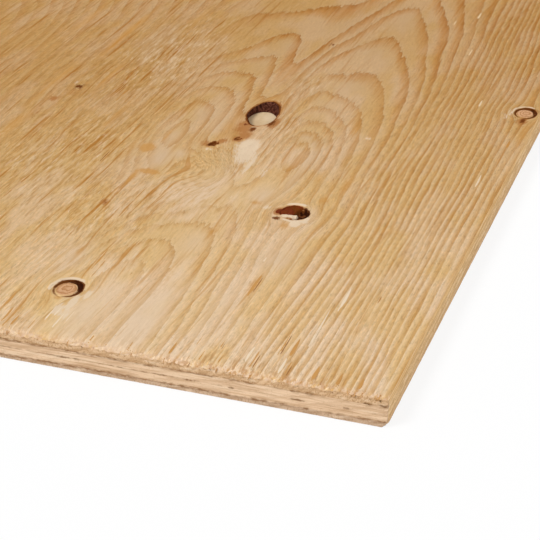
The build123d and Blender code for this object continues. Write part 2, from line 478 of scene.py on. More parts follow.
class Shell:
    """Points in (u, v, z) millimetres, and tiles between them with the number of their finish."""

    def __init__(self):
        self.points, self.tiles, self.count = [], [], 0

    def add(self, u, v, z):
        """Adds points and gives their numbers back, in the shape of the arrays."""
        u, v, z = np.broadcast_arrays(u, v, z)
        numbers = self.count + np.arange(u.size).reshape(u.shape)
        self.points.append(np.stack([u.ravel(), v.ravel(), z.ravel()], -1).astype(float))
        self.count += u.size
        return numbers

    def tile(self, faces, finish):
        """Adds tiles, with one finish for all or one for each."""
        faces = np.asarray(faces)
        self.tiles.append((faces, np.broadcast_to(finish, len(faces))))

    def join(self, a, b, finish, closed=True):
        """Four-sided tiles between two rows with the same count."""
        if closed:
            a, b = np.append(a, a[:1]), np.append(b, b[:1])
        self.tile(np.stack([a[:-1], a[1:], b[1:], b[:-1]], -1), finish)

    def double(self, a, b, finish, closed=True):
        """Five-sided tiles between a row and one with twice as many steps."""
        if closed:
            a, b = np.append(a, a[:1]), np.append(b, b[:1])
        self.tile(np.stack([a[:-1], a[1:], b[2::2], b[1::2], b[:-2:2]], -1), finish)

    def surround(self, outer, outer_far, inner, inner_far, finish):
        """Two many-sided tiles between loops of one direction, cut at their starts and at their far
        points."""
        there = [outer[:outer_far + 1], inner[:inner_far + 1][::-1]]
        back = [outer[outer_far:], outer[:1], inner[:1], inner[inner_far:][::-1]]
        self.tile([np.concatenate(there)], finish)
        self.tile([np.concatenate(back)], finish)

    def close(self, loop, pole, finish):
        """Three-sided tiles from a loop to the point in its middle."""
        around = np.roll(loop, -1)
        self.tile(np.stack([loop, around, np.full_like(loop, pole)], -1), finish)

    def tile_grid(self, grid, kept, finish):
        """Four-sided tiles over a grid of point numbers, where the array says that they are kept."""
        tiles = np.stack([grid[:-1, :-1], grid[:-1, 1:], grid[1:, 1:], grid[1:, :-1]], -1)
        self.tile(tiles[kept], finish)

    def places(self):
        """All points so far, as rows of u, v and z."""
        return np.concatenate(self.points)

    def build(self, name, finishes, masks):
        """Makes the Blender object: points, tiles, finishes, and one number a point for each mask."""
        places = self.places()
        mesh = bpy.data.meshes.new(name)
        faces = [face for part, _ in self.tiles for face in part.tolist()]
        mesh.from_pydata(to_space(*places.T).tolist(), [], faces)
        finish = np.concatenate([part for _, part in self.tiles])
        for material in finishes:
            mesh.materials.append(material)
        mesh.polygons.foreach_set("material_index", finish.astype(np.int32))
        for label, values in masks.items():
            layer = mesh.attributes.new(label, "FLOAT", "POINT")
            layer.data.foreach_set("value", values.astype(np.float32))
        work = bmesh.new()
        work.from_mesh(mesh)
        bmesh.ops.recalc_face_normals(work, faces=work.faces)
        open_edges = sum(not edge.is_manifold for edge in work.edges)
        work.to_mesh(mesh)
        work.free()
        mesh.shade_smooth()
        mesh.set_sharp_from_angle(angle=sharp_angle)
        veneer = bpy.data.objects.new(name, mesh)
        bpy.context.scene.collection.objects.link(veneer)
        triangles = sum(len(face) - 2 for face in faces)
        print(f"{name}: {len(places)} points, {triangles} triangles, {open_edges} open edges")
        return veneer


# %% [markdown]
# ## A grid that is fine only where we look closely
# The photographed corner is 300 by 460 mm, and the sheet has more than twenty times its area. Grid lines
# lie close there, and then each step is an eighth longer than the last until they are far apart.


# %% Graded grid lines
most_steps = 400


def graded_lines(start, fine_end, fine_step, coarse_step, end, growth=1.12):
    """Even steps up to fine_end, then steps that each grow by the same factor, up to coarse_step."""
    fine = np.arange(start, fine_end, fine_step)
    steps = np.minimum(fine_step * growth ** np.arange(1, most_steps), coarse_step)
    rest = fine[-1] + np.cumsum(steps)
    rest = rest[rest < end - coarse_step / 2]
    return np.concatenate([fine, rest, [end]])


corner_width, corner_length = 300, 460
strip_end = 4.0
columns = graded_lines(0, fine_end=corner_width + 1, fine_step=1.8, coarse_step=26, end=sheet_width)
rows = graded_lines(strip_end, fine_end=corner_length + 2, fine_step=3.0, coarse_step=36, end=sheet_length)
print(len(columns), "columns,", len(rows), "rows")

# %% [markdown]
# ## The lie of the surface
# Peeled veneer isn't flat. It dips by a tenth or two of a millimetre between ridges of late wood, it is
# torn where the grain runs into the knife, and the front end's upper arris is frayed and trodden down,
# most of all at the left of the picture. The surface only ever lies below the sheet's full height, so the
# sheet keeps its size.

# %% Surface relief
torn_places = [
    (126, 140, 60, 50), (150, 112, 50, 70), (124, 76, 24, 44), (134, 68, 12, 44), (112, 285, 18, 50),
    (150, 16, 34, 50), (106, 232, 14, 60), (190, 150, 70, 120), (190, 290, 60, 120), (250, 700, 90, 240),
    (760, 960, 120, 260), (520, 1700, 160, 200), (1000, 2080, 140, 220),
]
chip = (115, 198, 13.5, 32)
chip_depth = 0.35
ridge_height = 0.07


def torn_grain(u, v):
    """Where the knife tore the wood: soft spots, broken up by noise."""
    torn = gather(u, v, [(*place, 1.0) for place in torn_places])
    return np.clip(torn + 0.35 * soft_noise(u / 26, v / 60, 31), 0, 1)


def surface_dip(u, v, rings):
    """Depth below full height in mm: the sum of the dips between ridges of late wood, slow waves, torn
    hollows and the smooth chip."""
    ridge = ridge_height * (1 - smooth_step(rings % 1, 0.45, 0.95))
    slow = 0.13 + 0.07 * soft_noise(u / 14, v / 55, 32)
    rough = 0.09 * torn_grain(u, v) * (1 + soft_noise(u / 3.1, v / 8.5, 33))
    sliver = chip_depth * smooth_step(spot(u, v, chip[:2], *chip[2:]), 0.35, 0.6)
    return ridge + slow + rough + sliver


def arris_drop(u):
    """How far the front arris is worn down in mm: 0.8 at the corner, 1.35 from 40 mm on, and uneven by
    noise of two sizes."""
    worn = 0.9 + 0.6 * smooth_step(u, 6, 40)
    return worn * (0.9 + 0.2 * soft_noise(u / 5.5, 0 * u, 34) + 0.3 * soft_noise(u / 1.3, 0 * u, 35))


# %% [markdown]
# ## Windows for the knots
# A knot needs points every half millimetre, and the grid has them every two or three. So each gets a
# window in the grid: the tiles inside it are left out, and rings of points lead from the window's frame
# to the knot's outline. A point on ring k stands between the frame's point and the outline's point on the
# same ray from the middle.


# %% Window frames
window_spreads = {"hole": (2.0, 1.5), "broken": (2.2, 1.8), "tight": (2.2, 1.8), "pit": (1.4, 1.3)}


def window_of(knot):
    """First and last column and row of the knot's window: a few half sizes to each side, on whole grid
    lines."""
    kind, ku, kv, width, length = knot
    spread_u, spread_v = window_spreads[kind]
    near_u, far_u = np.searchsorted(columns, [ku - spread_u * width / 2, ku + spread_u * width / 2])
    near_v, far_v = np.searchsorted(rows, [kv - spread_v * length / 2, kv + spread_v * length / 2])
    return max(near_u - 1, 0), min(far_u, len(columns) - 1), max(near_v - 1, 0), min(far_v, len(rows) - 1)


def frame_loop(numbers, window):
    """The grid's own points once round the window."""
    left, far, low, high = window
    return np.concatenate([
        numbers[low, left:far], numbers[low:high, far],
        numbers[high, far:left:-1], numbers[high:low:-1, left],
    ])


def far_away(knot):
    """Knots outside the photographed corner make do with fewer points."""
    return knot[1] > corner_width or knot[2] > corner_length


# %% Outline of a knot
knot_shapes = {"hole": (0.12, -0.06, 0.035), "broken": (0.04, 0.0, 0.06), "tight": (0.03, 0.0, 0.045),
               "pit": (0.1, 0.3, 0.2)}
flat_depth, flat_angle, flat_spread = 0.1, -0.75, 0.4


def knot_outline(angle, knot):
    """Egg: half width times cosine, narrower as the sine grows, and half length times sine, with a
    leaning middle line and a few per cent of noise round it. The hole is flattened on its near left
    side."""
    kind, ku, kv, width, length = knot
    egg, lean, rough = knot_shapes[kind]
    wobble = 1 - rough + rough * soft_noise(angle * 3 / np.pi + 20, 0 * angle + ku, 41)
    if kind == "hole":
        wobble = wobble - flat_depth * np.exp(-(((angle - flat_angle) / flat_spread) ** 2))
    along = 0.5 * length * np.sin(angle) * wobble
    across = 0.5 * width * np.cos(angle) * (1 - egg * np.sin(angle)) * wobble - lean * along
    return across, along


# %% [markdown]
# ## Into the knots
# Inside the outline the depth is a formula. A tight knot has a groove where its bark shrank, wider on one
# side, and a low dome of its own hard wood. The broken knot is a socket with a deep gap on its right, a
# slit at its near side and a pale splinter that stands across it. A pit is a bowl. The lost knot's hole
# has no floor of its own: its walls slope down to the core.


# %% Depth inside a knot
def bark_and_shade_side(angle):
    """1 on the far right side of a tight knot, where the bark is thickest and its colour takes painted
    shade, and 0 opposite.
    """
    return (0.5 + 0.5 * np.cos(angle - 2.3)) ** 1.5


def heart_reach(angle):
    """The reach at which a tight knot's own wood ends and its bark begins."""
    return 0.86 - 0.2 * bark_and_shade_side(angle)


def tight_depth(du, dv, reach, angle, knot):
    """Groove between the knot's own wood and the outline, widest on the far right, then a rough dome."""
    inner = heart_reach(angle)
    groove = smooth_step(reach, inner - 0.06, inner) * (1 - smooth_step(reach, 0.97, 1.0))
    dome = 0.06 + 0.1 * reach ** 2 + 0.05 * soft_noise(du * 1.1, dv * 0.8, 42)
    return dome + (0.35 + 0.5 * bark_and_shade_side(angle)) * groove


def broken_parts(du, dv):
    """Where the splinter, the slit below it, the gap on the right and the red lobe on the left are, each
    0 to 1."""
    beside = dv + 3.5 + 0.19 * (du - 1.4)
    splinter = 1 - smooth_step(np.abs(beside), 1.1, 1.7)
    splinter = splinter * (1 - smooth_step(np.abs(du - 1.4), 3.1, 4.1))
    slit = 1 - smooth_step(np.abs(beside + 2.8), 0.7, 1.4)
    slit = slit * (1 - smooth_step(np.abs(du - 0.6), 4.5, 5.6))
    gap = smooth_step(1.3 - np.hypot((du + 3.1) / 3.0, (dv + 0.3) / 6.6), 0, 0.35)
    lobe = smooth_step(1.25 - np.hypot((du - 3.9) / 3.0, (dv - 1.0) / 4.0), 0, 0.4)
    return splinter, slit, gap, lobe


def broken_depth(du, dv, reach, angle, knot):
    """A socket one millimetre deep, with the gap and the slit cut deeper and the splinter left
    standing."""
    splinter, slit, gap, lobe = broken_parts(du, dv)
    bank = 1 - smooth_step(reach, 0.92, 1.0)
    step = 0.9 + 0.45 * soft_noise(du * 1.1, dv * 0.7, 43)
    depth = step + 2.2 * np.maximum(gap, 0.8 * slit) - 0.2 * lobe
    return bank * (depth * (1 - splinter) + 0.25 * splinter)


def pit_depth(du, dv, reach, angle, knot):
    """A bowl: its depth falls off as one minus the fourth power of the reach."""
    return 0.05 * knot[3] ** 2 * (1 - np.minimum(reach, 1) ** 4) * (1 + 0.25 * soft_noise(du, dv, 44))


depth_of = {"tight": tight_depth, "broken": broken_depth, "pit": pit_depth}
inside_reaches = {
    "tight": (0.985, 0.955, 0.91, 0.87, 0.83, 0.79, 0.74, 0.68, 0.61, 0.53, 0.44, 0.34, 0.23, 0.12),
    "broken": (0.97, 0.94, 0.91, 0.87, 0.82, 0.77, 0.72, 0.66, 0.6, 0.54, 0.47, 0.4, 0.33, 0.26, 0.18, 0.1),
    "pit": (0.96, 0.9, 0.82, 0.7, 0.55, 0.35),
}
far_reaches = (0.97, 0.91, 0.84, 0.77, 0.66, 0.45, 0.2)

# How many mm the hole's walls stand in at the core: the far side, and the left and right sides. The left
# one stands out instead.
hole_far_slope = 5.0
hole_side_slopes = (-0.4, 0.7)


# %% One knot, from the window's frame inwards
def knot_rings(shell, numbers, knot, lip):
    """Leads rings from the frame to the outline, doubling their points on the way."""
    kind, ku, kv, width, length = knot
    loop = frame_loop(numbers, window_of(knot))
    base = shell.places()[loop]
    du, dv = base[:, 0] - ku, base[:, 1] - kv
    points_wanted, further_rings = (36, 3) if kind == "pit" or far_away(knot) else (64, 7)
    doublings = 1
    while len(loop) * 2 ** doublings < points_wanted:
        doublings += 1
    steps = 2 ** doublings
    share = np.arange(len(loop) * steps) / steps
    ring = np.arange(len(loop) + 1)
    frame_u = np.interp(share, ring, np.append(du, du[:1]))
    frame_v = np.interp(share, ring, np.append(dv, dv[:1]))
    angle = np.arctan2(frame_v / length, frame_u / width)
    edge_u, edge_v = knot_outline(angle, knot)
    shares = np.linspace(0, 1, doublings + further_rings)[1:] ** 0.75
    for k, inward in enumerate(shares):
        every = steps // 2 ** min(k + 1, doublings)
        u = ku + (frame_u * (1 - inward) + edge_u * inward)[::every]
        v = kv + (frame_v * (1 - inward) + edge_v * inward)[::every]
        inner = shell.add(u, v, sheet_top - surface_dip(u, v, ring_number(u, v)) - lip * inward ** 4)
        (shell.double if k < doublings else shell.join)(loop, inner, 0)
        loop = inner
    return loop, angle, edge_u, edge_v


def fill_knot(shell, numbers, knot):
    """A knot with a floor: rings at falling reach, sunk by the depth formula, closed at a middle
    point."""
    kind, ku, kv, width, length = knot
    loop, angle, edge_u, edge_v = knot_rings(shell, numbers, knot, 0.05)
    base = sheet_top - 0.15
    for reach in far_reaches if far_away(knot) else inside_reaches[kind]:
        du, dv = edge_u * reach, edge_v * reach
        depth = depth_of[kind](du, dv, np.full_like(du, reach), angle, knot)
        inner = shell.add(ku + du, kv + dv, base - depth)
        shell.join(loop, inner, 0)
        loop = inner
    middle = depth_of[kind](0 * angle[:1], 0 * angle[:1], 0 * angle[:1], angle[:1], knot)
    pole = shell.add(np.array([ku]), np.array([kv]), base - middle)
    shell.close(loop, pole[0], 0)


def open_hole(shell, numbers, knot):
    """The lost knot: walls down to the core, sloping most on the far side and undercut on the left, with
    shreds of bark left on them."""
    kind, ku, kv, width, length = knot
    loop, angle, edge_u, edge_v = knot_rings(shell, numbers, knot, 0.12)
    top = shell.places()[loop][:, 2]
    for fall in np.linspace(0, 1, 12)[1:]:
        shred = 0.35 * soft_noise(angle * 6, 0 * angle + fall * 4, 45) * np.sin(np.pi * fall)
        far = hole_far_slope * fall * np.clip(np.sin(angle), 0, 1) ** 1.5
        side = np.interp(np.cos(angle), (-1, 1), hole_side_slopes[::-1]) * fall
        u = ku + edge_u * (1 - 2 * side / width) + shred * np.cos(angle)
        v = kv + edge_v * (1 - 2 * side / length) - far + shred * np.sin(angle)
        inner = shell.add(u, v, top * (1 - fall) + core_top * fall)
        shell.join(loop, inner, 3)
        loop = inner
    return loop


# %% [markdown]
# ## Sawn edges
# The four edges are where the plies show. A profile is carried round the sheet's outline: at every point
# it goes from the upper face down to the lower one. The saw leaves them a little rough, the glue lines
# wander as the plies were pressed thick or thin, here and there a gap in the glue opens as a dark pocket,
# and the right edge was cut a touch out of square.

# %% Sizes of the edges, in mm
sides_lean = 0.02
groove_depth = 0.04
groove_width = 0.25
pocket_reach = 2.6
core_pockets = [
    (122, 5.0, 0.12), (84.5, 5.5, 0.08), (72, 6.5, 0.07), (33, 4.6, 0.14), (15, 2.4, 0.12),
    (57.2, 2.0, 0.12), (116, 3.0, 0.07), (240, 9, 0.2), (420, 6, 0.2), (505, 14, 0.3), (777, 10, 0.3),
    (930, 7, 0.2), (1130, 12, 0.3),
]
face_pockets = [
    (57, 3.5, 0.12), (1.6, 2.6, 0.2), (33.5, 2.4, 0.16), (28, 2.0, 0.18), (7.5, 2.2, 0.2), (350, 7, 0.2),
    (690, 9, 0.2), (1010, 8, 0.2),
]
pockets = {back_top: [], core_middle: core_pockets, core_top: face_pockets}
corner_chip = (1.9, 5.0)
chip_left_at_top = 0.12


def line_height(u, v, line):
    """Where a glue line runs at the edge: it wanders near the photographed corner by what the photograph
    shows."""
    wander = {
        back_top: -0.4 - 0.2 * smooth_step(u, 35, 60) - 0.4 * smooth_step(u, 116, 142),
        core_middle: -0.42 + 0 * u,
        core_top: 0.1 - 0.2 * smooth_step(u, 2, 12) - 0.3 * smooth_step(u, 50, 95),
    }[line]
    here = (1 - smooth_step(u, 300, 520)) * (1 - smooth_step(v, 0, 12))
    return line + wander * here + 0.06 * soft_noise(u / 9, 0 * u + line, 57) * on_front_or_back(v)


def pocket_height(u, v, line):
    """Half height of the gaps in a glue line at the front end: a lens over each gap's width."""
    height = np.zeros_like(u)
    for place_u, width, tall in pockets[line]:
        lens = np.clip(1 - ((u - place_u) / (width / 2)) ** 2, 0, 1) ** 0.5
        height = np.maximum(height, lens * tall / 2 * (1 + 0.4 * soft_noise(u * 1.3, 0 * u, 51)))
    return height * (v < 3)


def glue_surface(u, v, line, inset, side):
    """Height of a ply's border at a glue line: at the edge it wanders and gapes, and further in it lies
    flat. The side is 1 for the ply above the line and -1 for the one below."""
    flat = np.clip(1 - inset / pocket_reach, 0, 1) ** 1.5
    return line + (line_height(u, v, line) - line + side * pocket_height(u, v, line)) * flat


def on_front_or_back(v):
    """True for places on the two short ends."""
    return (v < strip_end / 2) | (v > sheet_length - strip_end / 2)


def place_round(u, v):
    """One number for a place on the edge: u on the short ends, and v on the long sides, where it starts
    at 5000 so that their noise isn't that of the ends."""
    return np.where(on_front_or_back(v), u, v + 5000)


def edge_inset(u, v, z):
    """How far the sawn edge lies inside the true outline in mm: the sum of the saw's roughness in two
    sizes, tears near the front end's top, grooves along the glue lines and the right edge's lean."""
    along = place_round(u, v)
    rough = 0.07 + 0.04 * soft_noise(along / 3.3, z / 0.9, 52)
    rough = rough + 0.04 * soft_noise(along / 0.9, z / 0.45, 53)
    near_top = smooth_step(z, core_top + 0.2, core_top + 1.6) * (v < 2)
    torn = 0.25 * near_top * (0.5 + 0.5 * soft_noise(along / 1.1, z / 1.4, 56))
    glue = sum(np.exp(-(((z - line_height(u, v, line)) / groove_width) ** 2)) for line in pockets)
    groove = groove_depth * glue * (0.5 + 0.5 * soft_noise(along / 5, z * 0, 54)) * on_front_or_back(v)
    lean = sides_lean * (sheet_top - z) * (u < 1) * (v < 900)
    return np.maximum(rough + torn + groove + lean, 0)


def set_in(u, v, inset):
    """Moves outline points towards the middle of the sheet by the inset, the same at all four sides."""
    across = (u - sheet_width / 2) * (1 - inset / (sheet_width / 2)) + sheet_width / 2
    along = (v - sheet_length / 2) * (1 - inset / (sheet_length / 2)) + sheet_length / 2
    return across, along


def wall_finish(v, end_finish, side_finish):
    """A finish for each tile round the outline: one for the short ends, another for the long sides."""
    after = np.roll(v, -1)
    return np.where(on_front_or_back(v) & on_front_or_back(after), end_finish, side_finish)


# %% The edge's profile, carried round
border_insets = (0.6, 1.5, pocket_reach)
face_edge_steps = (0.05, 0.14, 0.3, 0.5, 0.72, 0.9, 1.0)
plain_edge_steps = (0.07, 0.18, 0.34, 0.5, 0.66, 0.82, 0.93, 1.0)


def under_ply(u, v, bottom_line, inset):
    """Height of a ply's lower side near its edge: the glue line, or the sheet's underside where there is
    none."""
    return glue_surface(u, v, bottom_line, inset, 1) if bottom_line else np.full_like(u, underside)


def edge_down(shell, loop, outline, bottom_line, finish, steps, frayed=0.0):
    """Rows down the sawn edge, from a loop on top to the glue line or the underside below."""
    start_u, start_v, top = shell.places()[loop].T
    u, v = outline
    bottom = under_ply(u, v, bottom_line, 0)
    for fall in steps:
        z = top * (1 - fall) + bottom * fall
        iu, iv = set_in(u, v, edge_inset(u, v, z))
        if not bottom_line:
            iu, iv = broken_corner(iu, iv, z)
        kept_fray = frayed * (1 - fall) ** 3
        iu = iu * (1 - kept_fray) + start_u * kept_fray
        iv = iv * (1 - kept_fray) + start_v * kept_fray
        inner = shell.add(iu, iv, z)
        shell.join(loop, inner, finish)
        loop = inner
    return loop


def border_below(shell, loop, outline, bottom_line, finish):
    """Rows inwards under the ply, along the glue line or the underside."""
    u, v = outline
    for inset in border_insets:
        iu, iv = set_in(u, v, inset)
        z = under_ply(u, v, bottom_line, inset)
        if not bottom_line:
            iu, iv = broken_corner(iu, iv, z)
        inner = shell.add(iu, iv, z)
        shell.join(loop, inner, finish)
        loop = inner
    return loop


def broken_corner(u, v, z):
    """The chip at the front right corner: points inside its slanting line are pushed straight out to
    it."""
    share = 1 - (1 - chip_left_at_top) * (z - underside) / (back_top - underside)
    across, along = corner_chip[0] * share, corner_chip[1] * share
    lacking = np.clip(1 - u / across - v / along, 0, None)
    ragged = 1 + 0.25 * soft_noise(v * 0.9 + 40, z * 1.5, 55)
    return u + lacking * across / 2 * ragged, v + lacking * along / 2 * ragged


# %% [markdown]
# ## The face veneer
# Now the parts meet: the grid with its windows, the knots in them, a finer strip along the front end
# whose arris is worn and frayed, the sawn edges, and an underside that goes round the open knot hole.

# %% Put the face veneer together
face = Shell()
grid_u, grid_v = np.meshgrid(columns, rows)
grid = face.add(grid_u, grid_v, sheet_top - surface_dip(grid_u, grid_v, ring_number(grid_u, grid_v)))
kept = np.ones((len(rows) - 1, len(columns) - 1), bool)
for knot in knots:
    left, far, low, high = window_of(knot)
    kept[low:high, left:far] = False
face.tile_grid(grid, kept, 0)
hole_knot = knots[0]
for knot in knots[1:]:
    fill_knot(face, grid, knot)
hole_loop = open_hole(face, grid, hole_knot)


# %% The worn strip along the front end
def halved(line):
    """Twice as many steps between the same ends."""
    return np.interp(np.arange(2 * len(line) - 1) / 2, np.arange(len(line)), line)


def fray(u):
    """How far the frayed arris is torn back in mm: noise in two sizes, none at the two corners."""
    torn = np.clip(soft_noise(u / 2.3, 0 * u, 36) + 0.9 * soft_noise(u / 0.7, 0 * u, 37), 0, 1)
    return 0.8 * torn * smooth_step(u, 0, 3) * smooth_step(sheet_width - u, 0, 3)


strip_places = (3.1, 2.3, 1.6, 1.0, 0.6, 0.3, 0.1, 0.0)
halvings = 2
arris_curve = 2.2
row, row_u = grid[0], columns
strip_sides = []
for k, place_v in enumerate(strip_places):
    if k < halvings:
        row_u = halved(row_u)
    share = 1 - place_v / strip_end
    v = place_v + fray(row_u) * share ** 3
    dip = surface_dip(row_u, v, ring_number(row_u, v)) + arris_drop(row_u) * share ** arris_curve
    low_row = face.add(row_u, v, sheet_top - dip)
    (face.double if k < halvings else face.join)(row, low_row, 0, closed=False)
    row = low_row
    strip_sides.append((row[0], row[-1]))
right_side = np.array([side for side, _ in reversed(strip_sides[:-1])])
left_side = np.array([side for _, side in strip_sides[:-1]])
top_loop = np.concatenate([row[::-1], right_side, grid[:, 0], grid[-1, 1:], grid[-2::-1, -1], left_side])
outline_u, outline_v = face.places()[top_loop, :2].T
outline_v = np.where(np.arange(len(top_loop)) < len(row), 0.0, outline_v)
outline = (outline_u, outline_v)
face_walls = wall_finish(outline_v, 1, 2)
face_bottom = edge_down(face, top_loop, outline, core_top, face_walls, face_edge_steps, frayed=1.0)
bottom_loop = border_below(face, face_bottom, outline, core_top, 1)

# %% The underside, in two halves that meet at the knot hole
bottom_u, bottom_v = face.places()[bottom_loop][:, :2].T
off_hole = np.abs(bottom_u - hole_knot[1])
end_weight = 10
near_start = np.argmin(off_hole + end_weight * np.abs(bottom_v - bottom_v.min()))
far_start = np.argmin(off_hole + end_weight * np.abs(bottom_v - bottom_v.max()))
outer = np.roll(bottom_loop, -near_start)
outer_far = (far_start - near_start) % len(outer)
inner = np.roll(hole_loop, -np.argmin(face.places()[hole_loop, 1]))
if face.places()[inner[1], 0] > face.places()[inner[0], 0]:
    inner = np.roll(inner[::-1], 1)
inner_far = np.argmax(face.places()[inner, 1])
face.surround(outer, outer_far, inner, inner_far, 1)
print("face veneer has", face.count, "points")


# %% Masks that the knots bring
def knot_masks(u, v):
    """Dark bark, darker on a tight knot's far right side by painted shade, red heart, pale halo, partly a
    painted highlight on a tight knot's upper left, the tight knots' own wood and its own ring number: the
    strongest that any knot gives a point, by the point's reach and angle on the knot."""
    dark, red, pale, heart, coil = (np.zeros_like(u) for _ in range(5))
    for knot in knots:
        kind, ku, kv, width, length = knot
        du, dv = u - ku, v - kv
        angle = np.arctan2(dv / length, du / width)
        edge_u, edge_v = knot_outline(angle, knot)
        reach = np.hypot(du, dv) / np.hypot(edge_u, edge_v)
        around = np.exp(-np.clip(reach - 1, 0, None) * 9)
        if kind == "tight":
            inner = heart_reach(angle)
            ring = smooth_step(reach, inner - 0.07, inner + 0.02) * (1 - smooth_step(reach, 0.98, 1.06))
            by_the_edge = ku < 100
            least, most = (0.6, 0.85) if by_the_edge else (0.46, 1.06)
            broken_off = 0.3 * np.exp(-(((angle + 1.3) / 0.35) ** 2))
            # Painted shade: the bark ring is dark all round, and painted darker still towards the far right
            # side, where the groove's shade falls.
            bark = least + (most - least) * bark_and_shade_side(angle) - broken_off
            dark = np.maximum(dark, ring * bark)
            red = np.maximum(red, 0.45 * np.exp(-(((reach - 1.0) / 0.13) ** 2)))
            heart = np.maximum(heart, 1 - smooth_step(reach, inner - 0.12, inner))
            coil = np.where(reach < 1, 3.2 * reach * (1 + 0.2 * np.cos(angle + ku)), coil)
            # A pale crescent on a tight knot's upper left: partly pale wood, partly a painted highlight
            # where the rise round the knot faces the light.
            pale_and_lit_crescent = np.exp(-(((reach - 1.2) / 0.17) ** 2)) * smooth_step(np.cos(angle - 0.9), 0.1, 0.5)
            pale = np.maximum(pale, (0.65 if by_the_edge else 1.1) * pale_and_lit_crescent)
        elif kind == "hole":
            dark = np.maximum(dark, np.where(reach < 1.0, 1.0, 0.4 * around))
            red = np.maximum(red, 0.8 * np.exp(-(((reach - 1.04) / 0.1) ** 2)))
        elif kind == "broken":
            splinter, slit, gap, lobe = broken_parts(du, dv)
            inside = 1 - smooth_step(reach, 0.95, 1.02)
            socket = inside * (1 - splinter)
            mixed = 0.25 + 0.45 * soft_noise(du / 1.1, dv / 1.4, 70)
            dark = np.maximum(dark, socket * np.maximum(mixed + 0.75 * gap, slit) * (1 - 0.6 * lobe))
            red = np.maximum(red, 1.3 * socket * (1 - 0.8 * gap))
            pale = np.maximum(pale, 1.2 * inside * splinter)
            far_side = smooth_step(np.cos(angle - 1.4), 0.75, 0.95)
            near_right_side = smooth_step(np.cos(angle + 1.9), 0.5, 0.95)
            rim = np.exp(-(((reach - 1.16) / 0.13) ** 2)) * np.maximum(far_side, near_right_side)
            pale = np.maximum(pale, 1.1 * rim)
        else:
            dark = np.maximum(dark, 0.11 * width * np.where(reach < 1, 0.85, 0.5 * around))
            red = np.maximum(red, 0.9 * np.exp(-(((reach - 0.9) / 0.4) ** 2)))
    return dark, red, pale, heart, coil


# %% Every mask of the face
def far_from_corner(u, v):
    """0 in the photographed corner and 1 well outside it."""
    return np.clip(smooth_step(v, 460, 900) + smooth_step(u, 320, 700), 0, 1)


def falloff_and_wood_tone(u, v):
    """Darker and warmer away from the corner, by what the photograph shows, then it holds: partly the
    wood's own tone and partly painted shade for the light's fall-off. It stays paler round the swirl, and
    it is darker on the left and between the swirl and the near knot."""
    drift = smooth_step(v + 0.25 * (u - 60), -60, 430) - 0.22 * spot(u, v, (112, 165), 46, 90)
    drift = drift + 0.17 * smooth_step(u, 145, 195) * (1 - smooth_step(v, 230, 340))
    drift = drift + 0.12 * spot(u, v, (145, 122), 70, 110)
    far = far_from_corner(u, v)
    return np.clip(drift - 0.2 * far * (1 + soft_noise(u / 170, v / 420, 61)), 0, 1)


def gold_share(u, v):
    """How golden the early wood is: pinkish in the middle and at the near end of the right edge, golden
    to the left and further up that edge, less so at the far side, and in slow patches outside the
    corner."""
    strip = 0.2 + 0.6 * smooth_step(v, 70, 170)
    here = 0.15 + np.maximum(0.7 * smooth_step(u, 60, 180), strip * (1 - smooth_step(u, 60, 90)))
    here = here * (1 - 0.35 * smooth_step(v, 230, 340))
    far = far_from_corner(u, v)
    return here * (1 - far) + far * (0.55 + 0.4 * soft_noise(u / 120, v / 300, 65))


def shown_rings(u, v, torn):
    """How clearly the rings can be seen: well in the far arches and by the right edge, less in the near
    ones, and hardly where fibres are torn, on the left and in the middle of the swirl."""
    left = smooth_step(u, 138, 175) * (1 - smooth_step(u, 290, 420)) * (1 - smooth_step(v, 330, 470))
    shown = (1 - 0.8 * torn) * (1 - 0.6 * left) * (0.88 + 0.12 * soft_noise(u / 60, v / 140, 66))
    shown = shown * (1 + smooth_step(u, 48, 66) * (0.45 * smooth_step(v, 90, 290) - 0.28))
    shown = shown * (1 - 0.3 * spot(u, v, (97, 210), 34, 90))
    curled = smooth_step(spot(u, v, *swirl), 0.1, 0.5)
    return shown * (1 - curled) + 0.42 * curled


rings_down, plain_rings_up = 0.33, 0.3


def face_masks(places):
    """All numbers that the face's finish reads, worked out for every point at once. On the sawn edges the
    ring number also changes with depth, by a third a millimetre."""
    u, v, z = places.T
    dark, red, pale, heart, coil = knot_masks(u, v)
    ends = np.exp(-((v / 2.4) ** 2)) + np.exp(-(((sheet_length - v) / 2.4) ** 2))
    torn = torn_grain(u, v)
    across, along = ring_slopes(u, v)
    return {
        "ring": ring_number(u, v) + rings_down * (sheet_top - z) * (np.minimum(v, u) < 1.5),
        "wide": ring_width(across, along),
        "steep": np.clip(along, -steepest, steepest),
        "calm": gather(u, v, smooth_marks),
        "dark": np.maximum(dark, gather(u, v, dark_marks)),
        "red": np.maximum(red, gather(u, v, red_marks)),
        "pale": np.maximum(pale, gather(u, v, pale_marks)),
        "orange": gather(u, v, orange_marks),
        "heart": heart,
        "coil": coil,
        "shade_and_tone": falloff_and_wood_tone(u, v),
        "gold": gold_share(u, v),
        "torn": torn,
        "shown": shown_rings(u, v, torn),
        "shift": fibre_shift(u, v),
        "worn": ends * (0.7 + 0.3 * soft_noise(u / 4, 0 * u, 64)),
        "frayed": np.exp(-v / 13) * (0.25 + 0.75 * smooth_step(u, 8, 22) * (1 - smooth_step(u, 66, 100))),
        "glue": glue_mask(u, v, z),
    }


